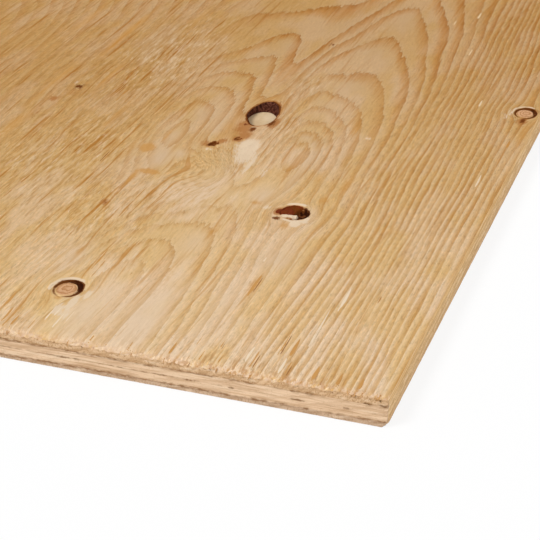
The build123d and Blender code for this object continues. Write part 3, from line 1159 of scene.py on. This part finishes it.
# %% Dashes of glue along the front end: from, to, strength
face_dashes = [
    (53.5, 60, 0.8), (32, 35.5, 0.9), (26.5, 30, 1.0), (5.5, 9, 1.0), (0, 3.4, 1.0), (48, 54, 0.7),
    (74, 78, 0.7), (96, 106, 0.7), (109, 117, 0.65), (126, 129, 0.7), (132, 137, 0.7),
]
core_dashes = [
    (120, 126, 0.8), (113, 118, 0.6), (82, 89, 0.6), (69, 79, 0.5), (56, 58.5, 0.75), (30, 35.5, 0.95),
    (13.5, 16, 0.9), (60, 63, 0.5), (44, 48, 0.4), (100, 106, 0.45), (130, 136, 0.4), (3, 6, 0.4),
]
back_dashes = [
    (94, 150, 0.75), (58, 78, 0.75), (43.5, 50, 0.85), (36, 41, 0.8), (28.5, 30.5, 1.0), (15, 19, 0.7),
    (0.5, 11, 0.75),
]
dash_fade = 0.8

# %% Glue lines: half thickness, usual strength and dashes
glue_lines = {
    core_top: (0.62, 0.6, face_dashes),
    core_middle: (0.34, 0.5, core_dashes),
    back_top: (0.66, 0.62, back_dashes),
}


def glue_mask(u, v, z):
    """How dark the glue shows at a point of the edge: a band at each line, strongest in the dashes and
    pockets, weaker near the front right corner and on the long sides."""
    along = place_round(u, v)
    mask = np.zeros_like(u)
    for line, (half, usual, dashes) in glue_lines.items():
        strength = usual * (0.5 + 0.5 * smooth_step(along, 35, 85))
        strength = strength * (1 + 0.5 * soft_noise(along / 4, 0 * along + line, 62))
        for start, end, strong in dashes:
            begun = smooth_step(along, start - dash_fade, start + dash_fade)
            inside = begun * (1 - smooth_step(along, end - dash_fade, end + dash_fade))
            strength = np.maximum(strength, strong * inside * (v < strip_end))
        strength = strength * np.where(on_front_or_back(v), 1.0, 0.35)
        off = z - line_height(u, v, line)
        mask = np.maximum(mask, np.exp(-((off / half) ** 2)) * strength)
        mask = np.maximum(mask, 0.75 * (pocket_height(u, v, line) > 0.03) * (np.abs(off) < 0.3))
    return np.clip(mask, 0, 1)


# %% [markdown]
# ## Core and back veneers
# Under the face lie three plain veneers. Their edges show, and the core's upper side at the bottom of the
# knot hole, so each is a shell with nearly all its detail in its edge: the same profile, carried round
# the same outline. The back veneer's lower side is seen when the sheet is turned over, so points in its
# middle carry growth rings too.


# %% The lower face
lower_columns, lower_rows = 96, 59
lower_margin_u, lower_margin_v = 36, 60


def lower_face(shell, loop, finish):
    """The sheet's lower face: a grid of tiles, some 12 by 40 mm, and two more tiles that surround them.
    Those meet at the grid's front left corner and at the one across."""
    middle_u = np.linspace(lower_margin_u, sheet_width - lower_margin_u, lower_columns)
    middle_v = np.linspace(lower_margin_v, sheet_length - lower_margin_v, lower_rows)
    middle = shell.add(*np.meshgrid(middle_u, middle_v), underside)
    shell.tile_grid(middle, np.ones((lower_rows - 1, lower_columns - 1), bool), finish)
    inner = np.concatenate([middle[0, ::-1], middle[1:, 0], middle[-1, 1:], middle[-2:0:-1, -1]])
    u, v, _ = shell.places()[loop].T
    start = np.argmax(u - v)
    outer_far = (np.argmax(v - u) - start) % len(loop)
    shell.surround(np.roll(loop, -start), outer_far, inner, lower_columns + lower_rows - 2, finish)


# %% A plain veneer
log_start = (300, 900)
log_scale = (0.7, 0.25)


def plain_veneer(name, line_above, line_below, finishes):
    """Closed shell: an upper face, the edge profile going down, and a lower face. Its finishes are those
    of the upper face, the ends, the long sides and the lower face. Its rings are a far part of the face's
    map, drawn out along the grain."""
    shell = Shell()
    u, v = outline
    loop = shell.add(*set_in(u, v, border_insets[-1]), np.full_like(u, line_above))
    shell.tile([loop], 0)
    for inset in border_insets[-2::-1] + (0,):
        z = glue_surface(u, v, line_above, inset, -1)
        inner = shell.add(*set_in(u, v, inset if inset else edge_inset(u, v, z)), z)
        shell.join(loop, inner, 0)
        loop = inner
    walls = wall_finish(v, 1, 2)
    loop = edge_down(shell, loop, outline, line_below, walls, plain_edge_steps)
    loop = border_below(shell, loop, outline, line_below, 3)
    if line_below:
        shell.tile([loop], 3)
    else:
        lower_face(shell, loop, 3)
    u, v, z = shell.places().T
    log_u, log_v = log_scale[0] * u + log_start[0], log_scale[1] * v + log_start[1]
    across, along = ring_slopes(log_u, log_v)
    across, along = log_scale[0] * across, log_scale[1] * along
    masks = {
        "ring": ring_number(log_u, log_v) + plain_rings_up * z,
        "wide": ring_width(across, along),
        "steep": np.clip(along, -steepest, steepest),
        "glue": glue_mask(u, v, z),
        # On the plain veneers this mask carries the wood's slow tone alone.
        "shade_and_tone": np.clip(0.6 + 0.25 * soft_noise(u / 160, v / 400, 63), 0, 1),
        "gold": 0.5 + 0.4 * soft_noise(u / 120, v / 260, 67),
        "shown": 0.8 + 0.2 * soft_noise(u / 60, v / 140, 68),
        "shift": 3 * soft_noise(u / 60, v / 110, 69),
    }
    return shell.build(name, finishes, masks)


# %% [markdown]
# ## Slivers
# Rough veneer is hairy. Where the knife tore the grain, and all along the sawn front arris, fine slivers
# of wood stand up and catch the light, and a few long ones have split off along the grain. Each is a thin
# blade with three sides that runs along the fibres. All of them are worked out together, as arrays of
# blades by rows by corners.

# %% Sliver shapes
sliver_rows = np.array([0.0, 0.2, 0.45, 0.7, 0.88, 1.0])
sliver_widths = np.array([0.5, 1.0, 0.95, 0.7, 0.4, 0.06])
sliver_sunk = 0.03
clear_of_ends, clear_of_top = 0.02, 0.01


def add_slivers(shell, u, v, length, width, lift, lean, thick, tone):
    """Blades from (u, v) along the grain: at row t they have gone length * t along and lean * t^2 across,
    stand lift * t^1.5 above the surface at their root, less the arris' wear, and are as wide as the width
    times the row's own share."""
    t, w = sliver_rows[None, :], sliver_widths[None, :] * width[:, None] / 2
    mid_u = u[:, None] + lean[:, None] * t ** 2
    mid_v = v[:, None] + length[:, None] * t
    root = sheet_top - surface_dip(u, v, ring_number(u, v))
    worn = arris_drop(mid_u) * np.clip(1 - mid_v / strip_end, 0, 1) ** arris_curve
    low = root[:, None] - worn - sliver_sunk + lift[:, None] * t ** 1.5
    high = low + thick[:, None] * (1 - 0.8 * t)
    across = np.stack([mid_u - w, mid_u, mid_u + w], -1)
    along = np.stack([mid_v] * 3, -1)
    height = np.stack([low, high, low], -1)
    along = np.clip(along, clear_of_ends, sheet_length - clear_of_ends)
    points = shell.add(across, along, np.minimum(height, sheet_top - clear_of_top))
    for a, b in ((0, 1), (1, 2), (2, 0)):
        sides = np.stack([points[:, :-1, a], points[:, 1:, a], points[:, 1:, b], points[:, :-1, b]], -1)
        shell.tile(sides.reshape(-1, 4), 0)
    shell.tile(points[:, 0, ::-1], 0)
    shell.tile(points[:, -1, :], 0)
    return np.repeat(tone, len(sliver_rows) * 3)


def scatter(random, place, count):
    """Random places in a round spot, spread normally by a quarter of its width and length."""
    pu, pv, width, length = place
    return pu + random.normal(0, width / 4, count), pv + random.normal(0, length / 4, count)


# %% [markdown]
# ## Words for making finishes
# A material is a small recipe. This helper adds one node a call and hands back its output, so that a
# recipe reads from top to bottom. All patterns are drawn in millimetres on Object coordinates, so they
# stay on the wood.


# %% Recipe
class Recipe:
    """One material: every method adds a node and gives its output."""

    def __init__(self, name):
        self.material = bpy.data.materials.new(name)
        self.material.use_nodes = True
        self.tree = self.material.node_tree
        self.tree.nodes.clear()
        self.where = self.add("ShaderNodeTexCoord", output="Object")

    def follow_fibres(self):
        """Moves the patterns sideways by the mask of the fibres' shift, so that streaks run with the
        grain."""
        aside = self.times(self.mask("shift"), -mm)
        aside = self.add("ShaderNodeCombineXYZ", {"X": aside})
        self.where = self.add("ShaderNodeVectorMath", {0: self.where, 1: aside}, operation="ADD")

    def add(self, kind, inputs=None, output=0, **settings):
        """A new node with its settings, and its inputs set to values or linked to other nodes'
        outputs."""
        node = self.tree.nodes.new(kind)
        for key, value in settings.items():
            setattr(node, key, value)
        for socket, value in (inputs or {}).items():
            if isinstance(value, bpy.types.NodeSocket):
                self.tree.links.new(value, node.inputs[socket])
            else:
                node.inputs[socket].default_value = value
        return node.outputs[output]

    def mask(self, label):
        """The number that every point of the mesh carries under this label."""
        return self.add("ShaderNodeAttribute", output="Fac", attribute_name=label)

    def math(self, operation, a, b=0.0, clamp=False):
        """One sum on two numbers, kept between 0 and 1 if clamped."""
        return self.add("ShaderNodeMath", {0: a, 1: b}, operation=operation, use_clamp=clamp)

    def times(self, a, b):
        """a * b"""
        return self.math("MULTIPLY", a, b)

    def centred(self, noise):
        """noise - 0.5, so that it swings about nought."""
        return self.math("SUBTRACT", noise, 0.5)

    def plus(self, a, share, b):
        """a + share * b"""
        return self.add("ShaderNodeMath", {0: b, 1: share, 2: a}, operation="MULTIPLY_ADD")

    def step(self, value, start, end):
        """0 at the start, 1 at the end, and 3t^2 - 2t^3 between. The start may also lie above the end."""
        inputs = {"Value": value, "From Min": start, "From Max": end}
        return self.add("ShaderNodeMapRange", inputs, interpolation_type="SMOOTHSTEP")

    def noise(self, size, detail=2.0, shift=0.0):
        """Noise whose grains measure size millimetres along x, y and z."""
        scaled = self.add(
            "ShaderNodeMapping",
            {"Vector": self.where, "Location": (shift, shift * 1.7, shift * 0.6),
             "Scale": tuple(1 / (s * mm) for s in size)},
        )
        inputs = {"Vector": scaled, "Scale": 1.0, "Detail": detail, "Roughness": 0.55}
        return self.add("ShaderNodeTexNoise", inputs)

    def blend(self, share, a, b, mode="MIX"):
        """The colour a where the share is 0, and b or the two multiplied where it is 1."""
        inputs = {"Factor": share, 6: a, 7: b}
        return self.add("ShaderNodeMix", inputs, output=2, data_type="RGBA", blend_type=mode)

    def tint(self, colour, noise, start, end, amount, towards):
        """Blends towards a colour where the noise lies between start and end and beyond, by at most the
        amount."""
        return self.blend(self.times(self.step(noise, start, end), amount), colour, towards)

    def deepen(self, share, colour, tone):
        """Multiplies by a tone, where the share is more than nothing."""
        return self.blend(share, colour, tone, "MULTIPLY")

    def finish(self, colour, roughness, height, depth, shine=0.02):
        """The surface itself, with a bump of the given depth in mm where the height goes from 0 to 1."""
        bump = self.add("ShaderNodeBump", {"Strength": 1.0, "Distance": depth * mm, "Height": height})
        skin = self.add(
            "ShaderNodeBsdfPrincipled",
            {"Base Color": colour, "Roughness": roughness, "Normal": bump, "Specular IOR Level": shine},
        )
        shown_as = self.tree.nodes.new("ShaderNodeOutputMaterial")
        self.tree.links.new(skin, shown_as.inputs["Surface"])
        return self.material


# %% Colours, as linear red, green and blue
early_pink = (0.810, 0.600, 0.400, 1)
early_gold = (0.765, 0.528, 0.260, 1)
calm_grey = (0.765, 0.584, 0.412, 1)
# Pale wood for strokes, torn flecks, patches and frays, and also the painted highlight past each ring's
# end.
pale_wood_and_highlight = (0.84, 0.67, 0.48, 1)
patch_pale = (0.785, 0.615, 0.435, 1)
worn_pink = (0.70, 0.47, 0.33, 1)
smudge_orange = (0.58, 0.29, 0.080, 1)
stain_amber = (0.420, 0.170, 0.048, 1)
heart_light = (0.660, 0.380, 0.205, 1)
heart_deep = (0.480, 0.230, 0.095, 1)
heart_red = (0.150, 0.016, 0.003, 1)
bark_brown = (0.150, 0.038, 0.006, 1)
bark_dark = (0.038, 0.009, 0.003, 1)
fibre_brown = (0.36, 0.18, 0.07, 1)
fray_brown = (0.46, 0.22, 0.065, 1)
glue_brown = (0.235, 0.112, 0.040, 1)
hole_black = (0.045, 0.012, 0.006, 1)
hole_red = (0.17, 0.058, 0.034, 1)
sliver_pale = (0.84, 0.68, 0.50, 1)
sliver_orange = (0.60, 0.31, 0.10, 1)
painted_sliver_shadow = (0.34, 0.15, 0.05, 1)

# %% Tones that other colours are multiplied by
ring_orange = (0.865, 0.755, 0.57, 1)
ring_brown = (0.86, 0.80, 0.72, 1)
# Deepens the ring bands where the fall-off mask is high: partly painted shade.
ring_shade_and_honey = (1.00, 0.88, 0.78, 1)
stroke_brown = (0.85, 0.785, 0.68, 1)
fine_brown = (0.86, 0.85, 0.83, 1)
fine_light = (1.11, 1.095, 1.07, 1)
torn_brown = (0.88, 0.78, 0.62, 1)
# These two darken and warm the wood by the fall-off mask: painted shade of the light's fall-off, with the
# wood's own tone.
shade_and_honey_tone = (0.685, 0.575, 0.425, 1)
sliver_shade_and_honey = (0.86, 0.78, 0.62, 1)

# %% [markdown]
# ## Finish of the face
# Each year's ring runs from pale, soft early wood to dark, hard late wood, and ends sharply. The ring
# number gives the year and, with the ring's width, how many millimetres are left before its end: an
# orange band deepens over the last eight, and a brown line over the last two or so. Just past the end,
# a pale band over the first millimetre or two is a painted highlight, for the light on the late wood's
# ridge. Noise drawn out along the grain frays that end into fibres. Where rings are hard to see, short
# dark and pale strokes of fibres take their place, and torn wood is flecked. Over this go the stains, and
# the bump: late wood stands proud. A back veneer has the rings and the fibres alone.


# %% Peeled face
def peeled_face(name, marked):
    """Early to late wood over each ring, frayed along the fibres, with stains where the masks say."""
    r = Recipe(name)
    r.follow_fibres()
    wide, shown = r.mask("wide"), r.mask("shown")
    fibres = r.noise((0.8, 22, 0.8), 3.0)
    strands = r.noise((2.6, 60, 2.6), 2.0, shift=2.3)
    strokes = r.noise((1.3, 15, 1.3), 3.0, shift=4.1)
    streaks = r.noise((1.9, 62, 1.9), 2.0, shift=8.3)
    fine = r.noise((0.45, 6, 0.45), 2.0, shift=3.1)
    specks = r.noise((0.9, 2.6, 0.9), 3.0, shift=7.7)
    wavy = r.noise((9, 36, 9), 1.0, shift=5.7)
    patches = r.noise((15, 48, 15), 2.0, shift=9.9)
    frays = r.centred(fibres)
    by_width = {"Value": wide, "From Min": 14.0, "From Max": 3.5, "To Min": 0.6, "To Max": 1.1}
    busy = r.add("ShaderNodeMapRange", by_width)

    sway = r.centred(wavy)
    slid = r.plus(r.times(frays, 15), 6, sway)
    number = r.plus(r.mask("ring"), r.mask("steep"), slid)
    strayed = r.plus(r.times(frays, 0.8), 1.4, sway)
    number = r.math("ADD", number, r.math("DIVIDE", strayed, wide))
    phase = r.math("FRACT", number)
    before_end = r.times(r.math("SUBTRACT", 1.0, phase), wide)
    after_end = r.times(phase, wide)
    luck = r.add("ShaderNodeTexWhiteNoise", {"W": r.math("FLOOR", number)}, noise_dimensions="1D")
    strength = r.times(r.plus(0.62, 0.38, luck), r.plus(0.62, 0.5, r.step(strands, 0.38, 0.6)))
    strength = r.times(strength, shown)
    band = r.math("MINIMUM", r.step(phase, 0.15, 0.85), r.step(before_end, 8.0, 0.8))
    band = r.times(band, strength)
    line = r.times(r.step(before_end, 2.6, 0.4), strength)
    # Painted highlight: the first millimetre or two past each ring's end is paled, for the light on the
    # late wood's ridge.
    ridge_highlight = r.times(r.step(after_end, 1.8, 0.3), strength)

    gold = r.math("ADD", r.step(patches, 0.36, 0.62), r.centred(r.mask("gold")), clamp=True)
    colour = r.blend(gold, early_pink, early_gold)
    calm = r.mask("calm") if marked else 0.0
    if marked:
        colour = r.blend(r.times(calm, 0.75), colour, calm_grey)
    colour = r.blend(r.times(ridge_highlight, 0.30), colour, pale_wood_and_highlight)
    colour = r.deepen(band, colour, ring_orange)
    colour = r.deepen(line, colour, ring_brown)
    rough_share = r.plus(1.0, -0.85, calm)
    plain = r.times(r.plus(1.0, -0.85, shown), rough_share)
    dark_stroke = r.times(r.step(strokes, 0.50, 0.66), plain)
    pale_stroke = r.times(r.step(strokes, 0.47, 0.30), plain)
    colour = r.deepen(dark_stroke, colour, stroke_brown)
    colour = r.blend(r.times(pale_stroke, 0.30), colour, pale_wood_and_highlight)
    busy = r.times(busy, rough_share)
    if marked:
        busy = r.plus(busy, 0.7, r.mask("frayed"))
    for noise in (specks, fine):
        colour = r.deepen(r.times(r.step(noise, 0.53, 0.72), busy), colour, fine_brown)
        colour = r.deepen(r.times(r.step(noise, 0.46, 0.28), busy), colour, fine_light)
    long_streak = r.times(r.step(streaks, 0.57, 0.69), r.plus(0.15, 0.95, plain))
    colour = r.blend(long_streak, colour, smudge_orange)
    height = r.plus(r.plus(r.plus(band, 1.1, fibres), 0.6, fine), 0.5, specks)
    height = r.plus(height, 0.8, strokes)
    # Painted shade of the light's fall-off, with the wood's own tone: darker and warmer by its mask.
    colour = r.deepen(r.mask("shade_and_tone"), colour, shade_and_honey_tone)
    colour = r.deepen(r.times(r.mask("shade_and_tone"), band), colour, ring_shade_and_honey)
    if marked:
        torn = r.mask("torn")
        lumps = r.noise((1.3, 9.0, 1.3), 2.0, shift=11.0)
        colour = r.deepen(r.times(torn, r.step(lumps, 0.50, 0.68)), colour, torn_brown)
        light = r.times(torn, r.step(lumps, 0.46, 0.30))
        colour = r.blend(r.times(light, 0.32), colour, pale_wood_and_highlight)
        height = r.plus(height, 1.2, r.times(torn, lumps))
        frayed = r.mask("frayed")
        dark_fray = r.times(r.step(strokes, 0.51, 0.60), frayed)
        colour = r.blend(r.times(dark_fray, 0.75), colour, fray_brown)
        pale_fray = r.times(r.step(strokes, 0.46, 0.38), frayed)
        colour = r.blend(r.times(pale_fray, 0.5), colour, pale_wood_and_highlight)
        worn = r.times(r.mask("worn"), r.step(specks, 0.35, 0.6))
        colour = r.blend(r.times(worn, 0.7), colour, worn_pink)
        coil = r.math("FRACT", r.plus(r.mask("coil"), 1.4, frays))
        heart = r.blend(r.step(coil, 0.3, 0.9), heart_light, heart_deep)
        colour = r.blend(r.mask("heart"), colour, r.tint(heart, specks, 0.5, 0.7, 0.6, heart_deep))
        for label, tone, low, high, top in (
            ("orange", smudge_orange, 0.2, 0.95, 0.78), ("pale", patch_pale, 0.3, 0.65, 0.85),
            ("red", stain_amber, 0.15, 0.6, 0.85), ("red", heart_red, 0.8, 1.05, 0.92),
            ("dark", bark_brown, 0.15, 0.5, 0.95), ("dark", bark_dark, 0.7, 1.0, 0.95),
        ):
            stray = r.math("ADD", frays, r.centred(specks))
            level_here = r.plus(r.mask(label), 0.6, stray)
            colour = r.blend(r.times(r.step(level_here, low, high), top), colour, tone)
    rough = r.add("ShaderNodeMapRange", {"Value": band, "To Min": 0.92, "To Max": 0.78})
    return r.finish(colour, rough, height, 0.18)


# %% [markdown]
# ## Finish of the edges
# Where the saw went across the fibres the wood shows its end grain: specks of open pores and the dark
# bands of the rings. Where it went along them there are long streaks. The core's grain lies across the
# sheet, so its long grain shows on the short ends and its end grain on the long sides, and for the face
# and the back it is the other way round. The glue only shows as brown dashes.


# %% Sawn edges: end grain and long grain
def sawn_edge(name, light, deep, grain_axis, specks, depth, ends=False):
    """Streaks along the grain's axis or, for end grain, short flecks; over them ring bands, pores and
    glue. It takes a light and a deep colour, the axis, how strong the pores are and how many mm deep the
    bump is."""
    r = Recipe(name)
    light, deep = (*light, 1), (*deep, 1)
    streak_size = [0.55, 0.55, 0.3]
    streak_size[grain_axis] = 14.0 if not ends else 0.9
    streaks = r.noise(streak_size, 3.0)
    pores = r.noise((0.8, 0.8, 0.4), 2.0, shift=4.4)
    patches = r.noise((7, 7, 1.6) if ends else (26, 26, 0.9), 2.0, shift=6.6)
    phase = r.math("FRACT", r.plus(r.mask("ring"), 0.4, r.centred(streaks)))
    colour = r.blend(r.times(r.step(phase, 0.45, 1.0), 0.55 if ends else 0.35), light, deep)
    colour = r.tint(colour, streaks, 0.5, 0.66, 0.85, deep)
    colour = r.tint(colour, patches, 0.45, 0.62, 0.5, deep)
    colour = r.tint(colour, patches, 0.44, 0.3, 0.4, pale_wood_and_highlight)
    colour = r.tint(colour, pores, 0.58, 0.74, specks, fibre_brown)
    blots = r.noise((2.1, 2.1, 0.7), 2.5, shift=3.3)
    glue = r.times(r.mask("glue"), r.plus(-0.8, 3.6, blots))
    colour = r.blend(r.times(r.step(glue, 0.0, 1.1), 0.82), colour, glue_brown)
    height = r.plus(streaks, 0.6, pores)
    return r.finish(colour, 0.9, height, depth)


def bark_wall(name):
    """Walls of the lost knot's hole: near-black bark in upright ridges, with some red-brown left in
    it."""
    r = Recipe(name)
    ridges = r.noise((0.9, 0.9, 3.0), 3.0)
    colour = r.tint(hole_black, ridges, 0.42, 0.64, 0.8, hole_red)
    return r.finish(colour, 0.9, ridges, 0.3, shine=0.04)


def sliver_wood(name):
    """Loose slivers: pale, freshly split wood, orange late wood or a painted shadow, by each sliver's own
    tone.
    """
    r = Recipe(name)
    streaks = r.noise((0.4, 3, 0.4), 2.0)
    tone = r.plus(r.mask("tone"), 0.8, r.centred(streaks))
    colour = r.blend(r.step(tone, 0.1, 0.9), sliver_pale, sliver_orange)
    colour = r.blend(r.step(tone, 1.1, 1.9), colour, painted_sliver_shadow)
    # Darker and warmer by the face's fall-off mask: painted shade, with the wood's own tone.
    colour = r.blend(r.mask("shade_and_tone"), colour, r.deepen(1.0, colour, sliver_shade_and_honey))
    return r.finish(colour, 0.85, streaks, 0.05)


face_finish = peeled_face("peeled_face", True)
back_finish = peeled_face("peeled_back", False)
# The long sides' colours are lighter than the ends': painted light that makes up for the shade the long
# sides stand in, on top of the grain's own difference.
face_end = sawn_edge("face_end_grain", (0.73, 0.495, 0.295), (0.48, 0.275, 0.125), 2, 0.75, 0.4, ends=True)
face_side = sawn_edge("face_long_grain", (0.86, 0.58, 0.28), (0.58, 0.32, 0.12), 1, 0.5, 0.2)
core_front = sawn_edge("core_long_grain", (0.80, 0.575, 0.38), (0.52, 0.32, 0.175), 0, 0.35, 0.15)
core_side = sawn_edge("core_end_grain", (0.88, 0.62, 0.34), (0.60, 0.36, 0.16), 2, 0.8, 0.3, ends=True)
back_end = sawn_edge("back_end_grain", (0.62, 0.44, 0.30), (0.42, 0.27, 0.16), 2, 0.5, 0.3, ends=True)
back_side = sawn_edge("back_long_grain", (0.88, 0.60, 0.34), (0.58, 0.35, 0.16), 1, 0.5, 0.2)
core_fresh = sawn_edge("core_fresh", (0.72, 0.54, 0.33), (0.615, 0.42, 0.235), 0, 0.15, 0.1)
hole_bark = bark_wall("hole_bark")
sliver_finish = sliver_wood("sliver_wood")
print(len(bpy.data.materials), "materials")

# %% [markdown]
# ## Build the veneers and the slivers
# Each new shell stands for the CAD veneer of the same place and rides on the one body. The shells never
# reach outside the box of the solids.

# %% Build the four veneers
core_finishes = [core_fresh, core_front, core_side, core_front]
pieces = [
    (face.build("face", [face_finish, face_end, face_side, hole_bark], face_masks(face.places())),
     "face_veneer", "face_veneer"),
    (plain_veneer("upper_core", core_top, core_middle, core_finishes), "upper_core_veneer", "core_veneer"),
    (plain_veneer("lower_core", core_middle, back_top, core_finishes), "lower_core_veneer", "core_veneer"),
    (plain_veneer("back", back_top, None, [back_finish, back_end, back_side, back_finish]),
     "back_veneer", "back_veneer"),
]
for piece, node, slot in pieces:
    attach(piece, "root")
    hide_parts(node)

# %% Scatter the slivers
slivers = Shell()
random = np.random.default_rng(71)
tones = []
slivers_a_square_mm, most_slivers = 0.004, 90
for place in torn_places:
    count = min(int(slivers_a_square_mm * place[2] * place[3]), most_slivers)
    u, v = scatter(random, place, count)
    u, v = np.clip(u, 1, sheet_width - 1), np.clip(v, 5, sheet_length - 9)
    length = random.uniform(1.5, 5, count) * random.choice([-1, 1], count)
    width = random.uniform(0.2, 0.45, count)
    lift = random.uniform(0.02, 0.14, count)
    lean = random.normal(0, 0.3, count)
    thick = random.uniform(0.04, 0.09, count)
    tone = random.uniform(0.2, 0.9, count)
    tones.append(add_slivers(slivers, u, v, length, width, lift, lean, thick, tone))

# %% Slivers along the front arris, densest on its right: they point out over the end and hang down
count = 520
u = sheet_width * random.uniform(0, 1, count) ** 2.2 * 0.994 + 3
v = random.uniform(0.6, 3.0, count)
length = -random.uniform(0.6, 2.2, count)
width = random.uniform(0.25, 0.5, count)
lift = -random.uniform(0.4, 1.1, count)
lean = random.normal(0, 0.35, count)
thick = random.uniform(0.05, 0.10, count)
# Tones above 1.1 make a sliver dark: painted shadow.
tone = random.uniform(0.6, 1.8, count)
tones.append(add_slivers(slivers, u, v, length, width, lift, lean, thick, tone))

# %% Long splinters and torn-out streaks that the photograph shows: u, v, length, width, tone
# The narrow blades of tone near 2 beside a wider one are painted shadows of the torn-out streaks.
long_splinters = np.array([
    (131.6, 17.0, 14, 1.8, 0.0), (128.6, 8.0, 18, 1.5, 0.1), (133.4, 12.0, 12, 1.0, 0.2),
    (125.8, 14.0, 15, 0.9, 0.2), (34.4, 58.0, 21, 1.7, 0.0), (36.8, 27.0, 32, 0.9, 0.25),
    (48.6, 357.0, 9, 1.4, 0.0), (29.0, 288.0, 9, 1.0, 0.0), (56.5, 416.0, 10, 1.2, 0.0),
    (66.2, 401.0, 7, 1.2, 0.1), (10.6, 193.0, 14, 1.1, 0.1), (119.5, 150.0, 8, 1.0, 0.3),
    (54.6, 8.0, 12, 1.8, 0.1), (41.3, 4.0, 12, 1.1, 0.0), (73.2, 89.0, 4, 1.6, 0.0),
    (173.0, 163.0, 20, 1.1, 0.1), (66.3, 9.0, 15, 1.7, 1.0), (65.5, 9.0, 14, 0.6, 2.0),
    (45.4, 17.0, 19, 1.8, 1.0), (44.6, 18.0, 16, 0.6, 2.0), (52.0, 2.0, 15, 1.6, 1.2),
    (50.9, 3.0, 12, 0.6, 1.9), (38.8, 2.0, 12, 1.5, 0.9), (38.0, 2.0, 9, 0.6, 2.0),
    (28.6, 3.0, 11, 1.5, 1.0), (27.7, 2.5, 8, 0.6, 1.9), (19.5, 2.0, 10, 1.4, 1.3),
    (18.8, 1.5, 7, 0.6, 2.0), (60.0, 2.0, 9, 1.2, 1.0), (11.5, 3.0, 8, 1.2, 1.2),
    (69.8, 58.0, 19, 1.9, 1.0), (68.9, 62.0, 13, 0.6, 1.9), (75.0, 14.0, 14, 1.2, 0.8),
    (82.0, 4.0, 9, 1.0, 1.2), (97.0, 2.0, 6, 1.0, 1.3), (112.0, 2.0, 8, 1.2, 1.2),
    (171.2, 160.0, 28, 1.4, 1.0), (170.2, 160.0, 12, 0.6, 1.8), (42.6, 88.0, 24, 1.4, 1.0),
    (133.6, 58.0, 20, 0.9, 0.9), (33.5, 2.0, 12, 1.6, 1.3), (23.8, 2.0, 14, 1.5, 1.1),
    (48.9, 2.0, 18, 1.5, 1.4), (56.4, 2.0, 10, 1.4, 1.2), (63.4, 2.0, 12, 1.4, 1.4),
    (70.6, 2.0, 9, 1.3, 1.1), (15.2, 2.0, 9, 1.4, 1.2), (41.0, 18.0, 14, 1.4, 1.2),
    (6.6, 242.0, 9, 1.2, 1.2), (131.0, 52.0, 16, 0.8, 1.2), (148.0, 6.0, 12, 1.2, 1.1),
    (143.5, 3.0, 10, 1.2, 1.2), (136.5, 4.0, 7, 1.0, 1.0), (152.0, 18.0, 12, 1.3, 1.1),
    (219.3, 292.0, 70, 1.6, 1.0), (190.0, 230.0, 16, 1.0, 0.9), (222.0, 160.0, 50, 1.4, 1.0),
    (8.0, 78.0, 8, 1.0, 1.0), (22.0, 70.0, 6, 1.0, 1.5),
])
u, v, length, width, tone = long_splinters.T
lift, thick = np.full_like(u, 0.03), np.full_like(u, 0.06)
tones.append(add_slivers(slivers, u, v, length, width, lift, 0.02 * length, thick, tone))
sliver_u, sliver_v, _ = slivers.places().T
sliver_piece = slivers.build(
    "slivers", [sliver_finish], {"tone": np.concatenate(tones), "shade_and_tone": falloff_and_wood_tone(sliver_u, sliver_v)}
)
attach(sliver_piece, "root")
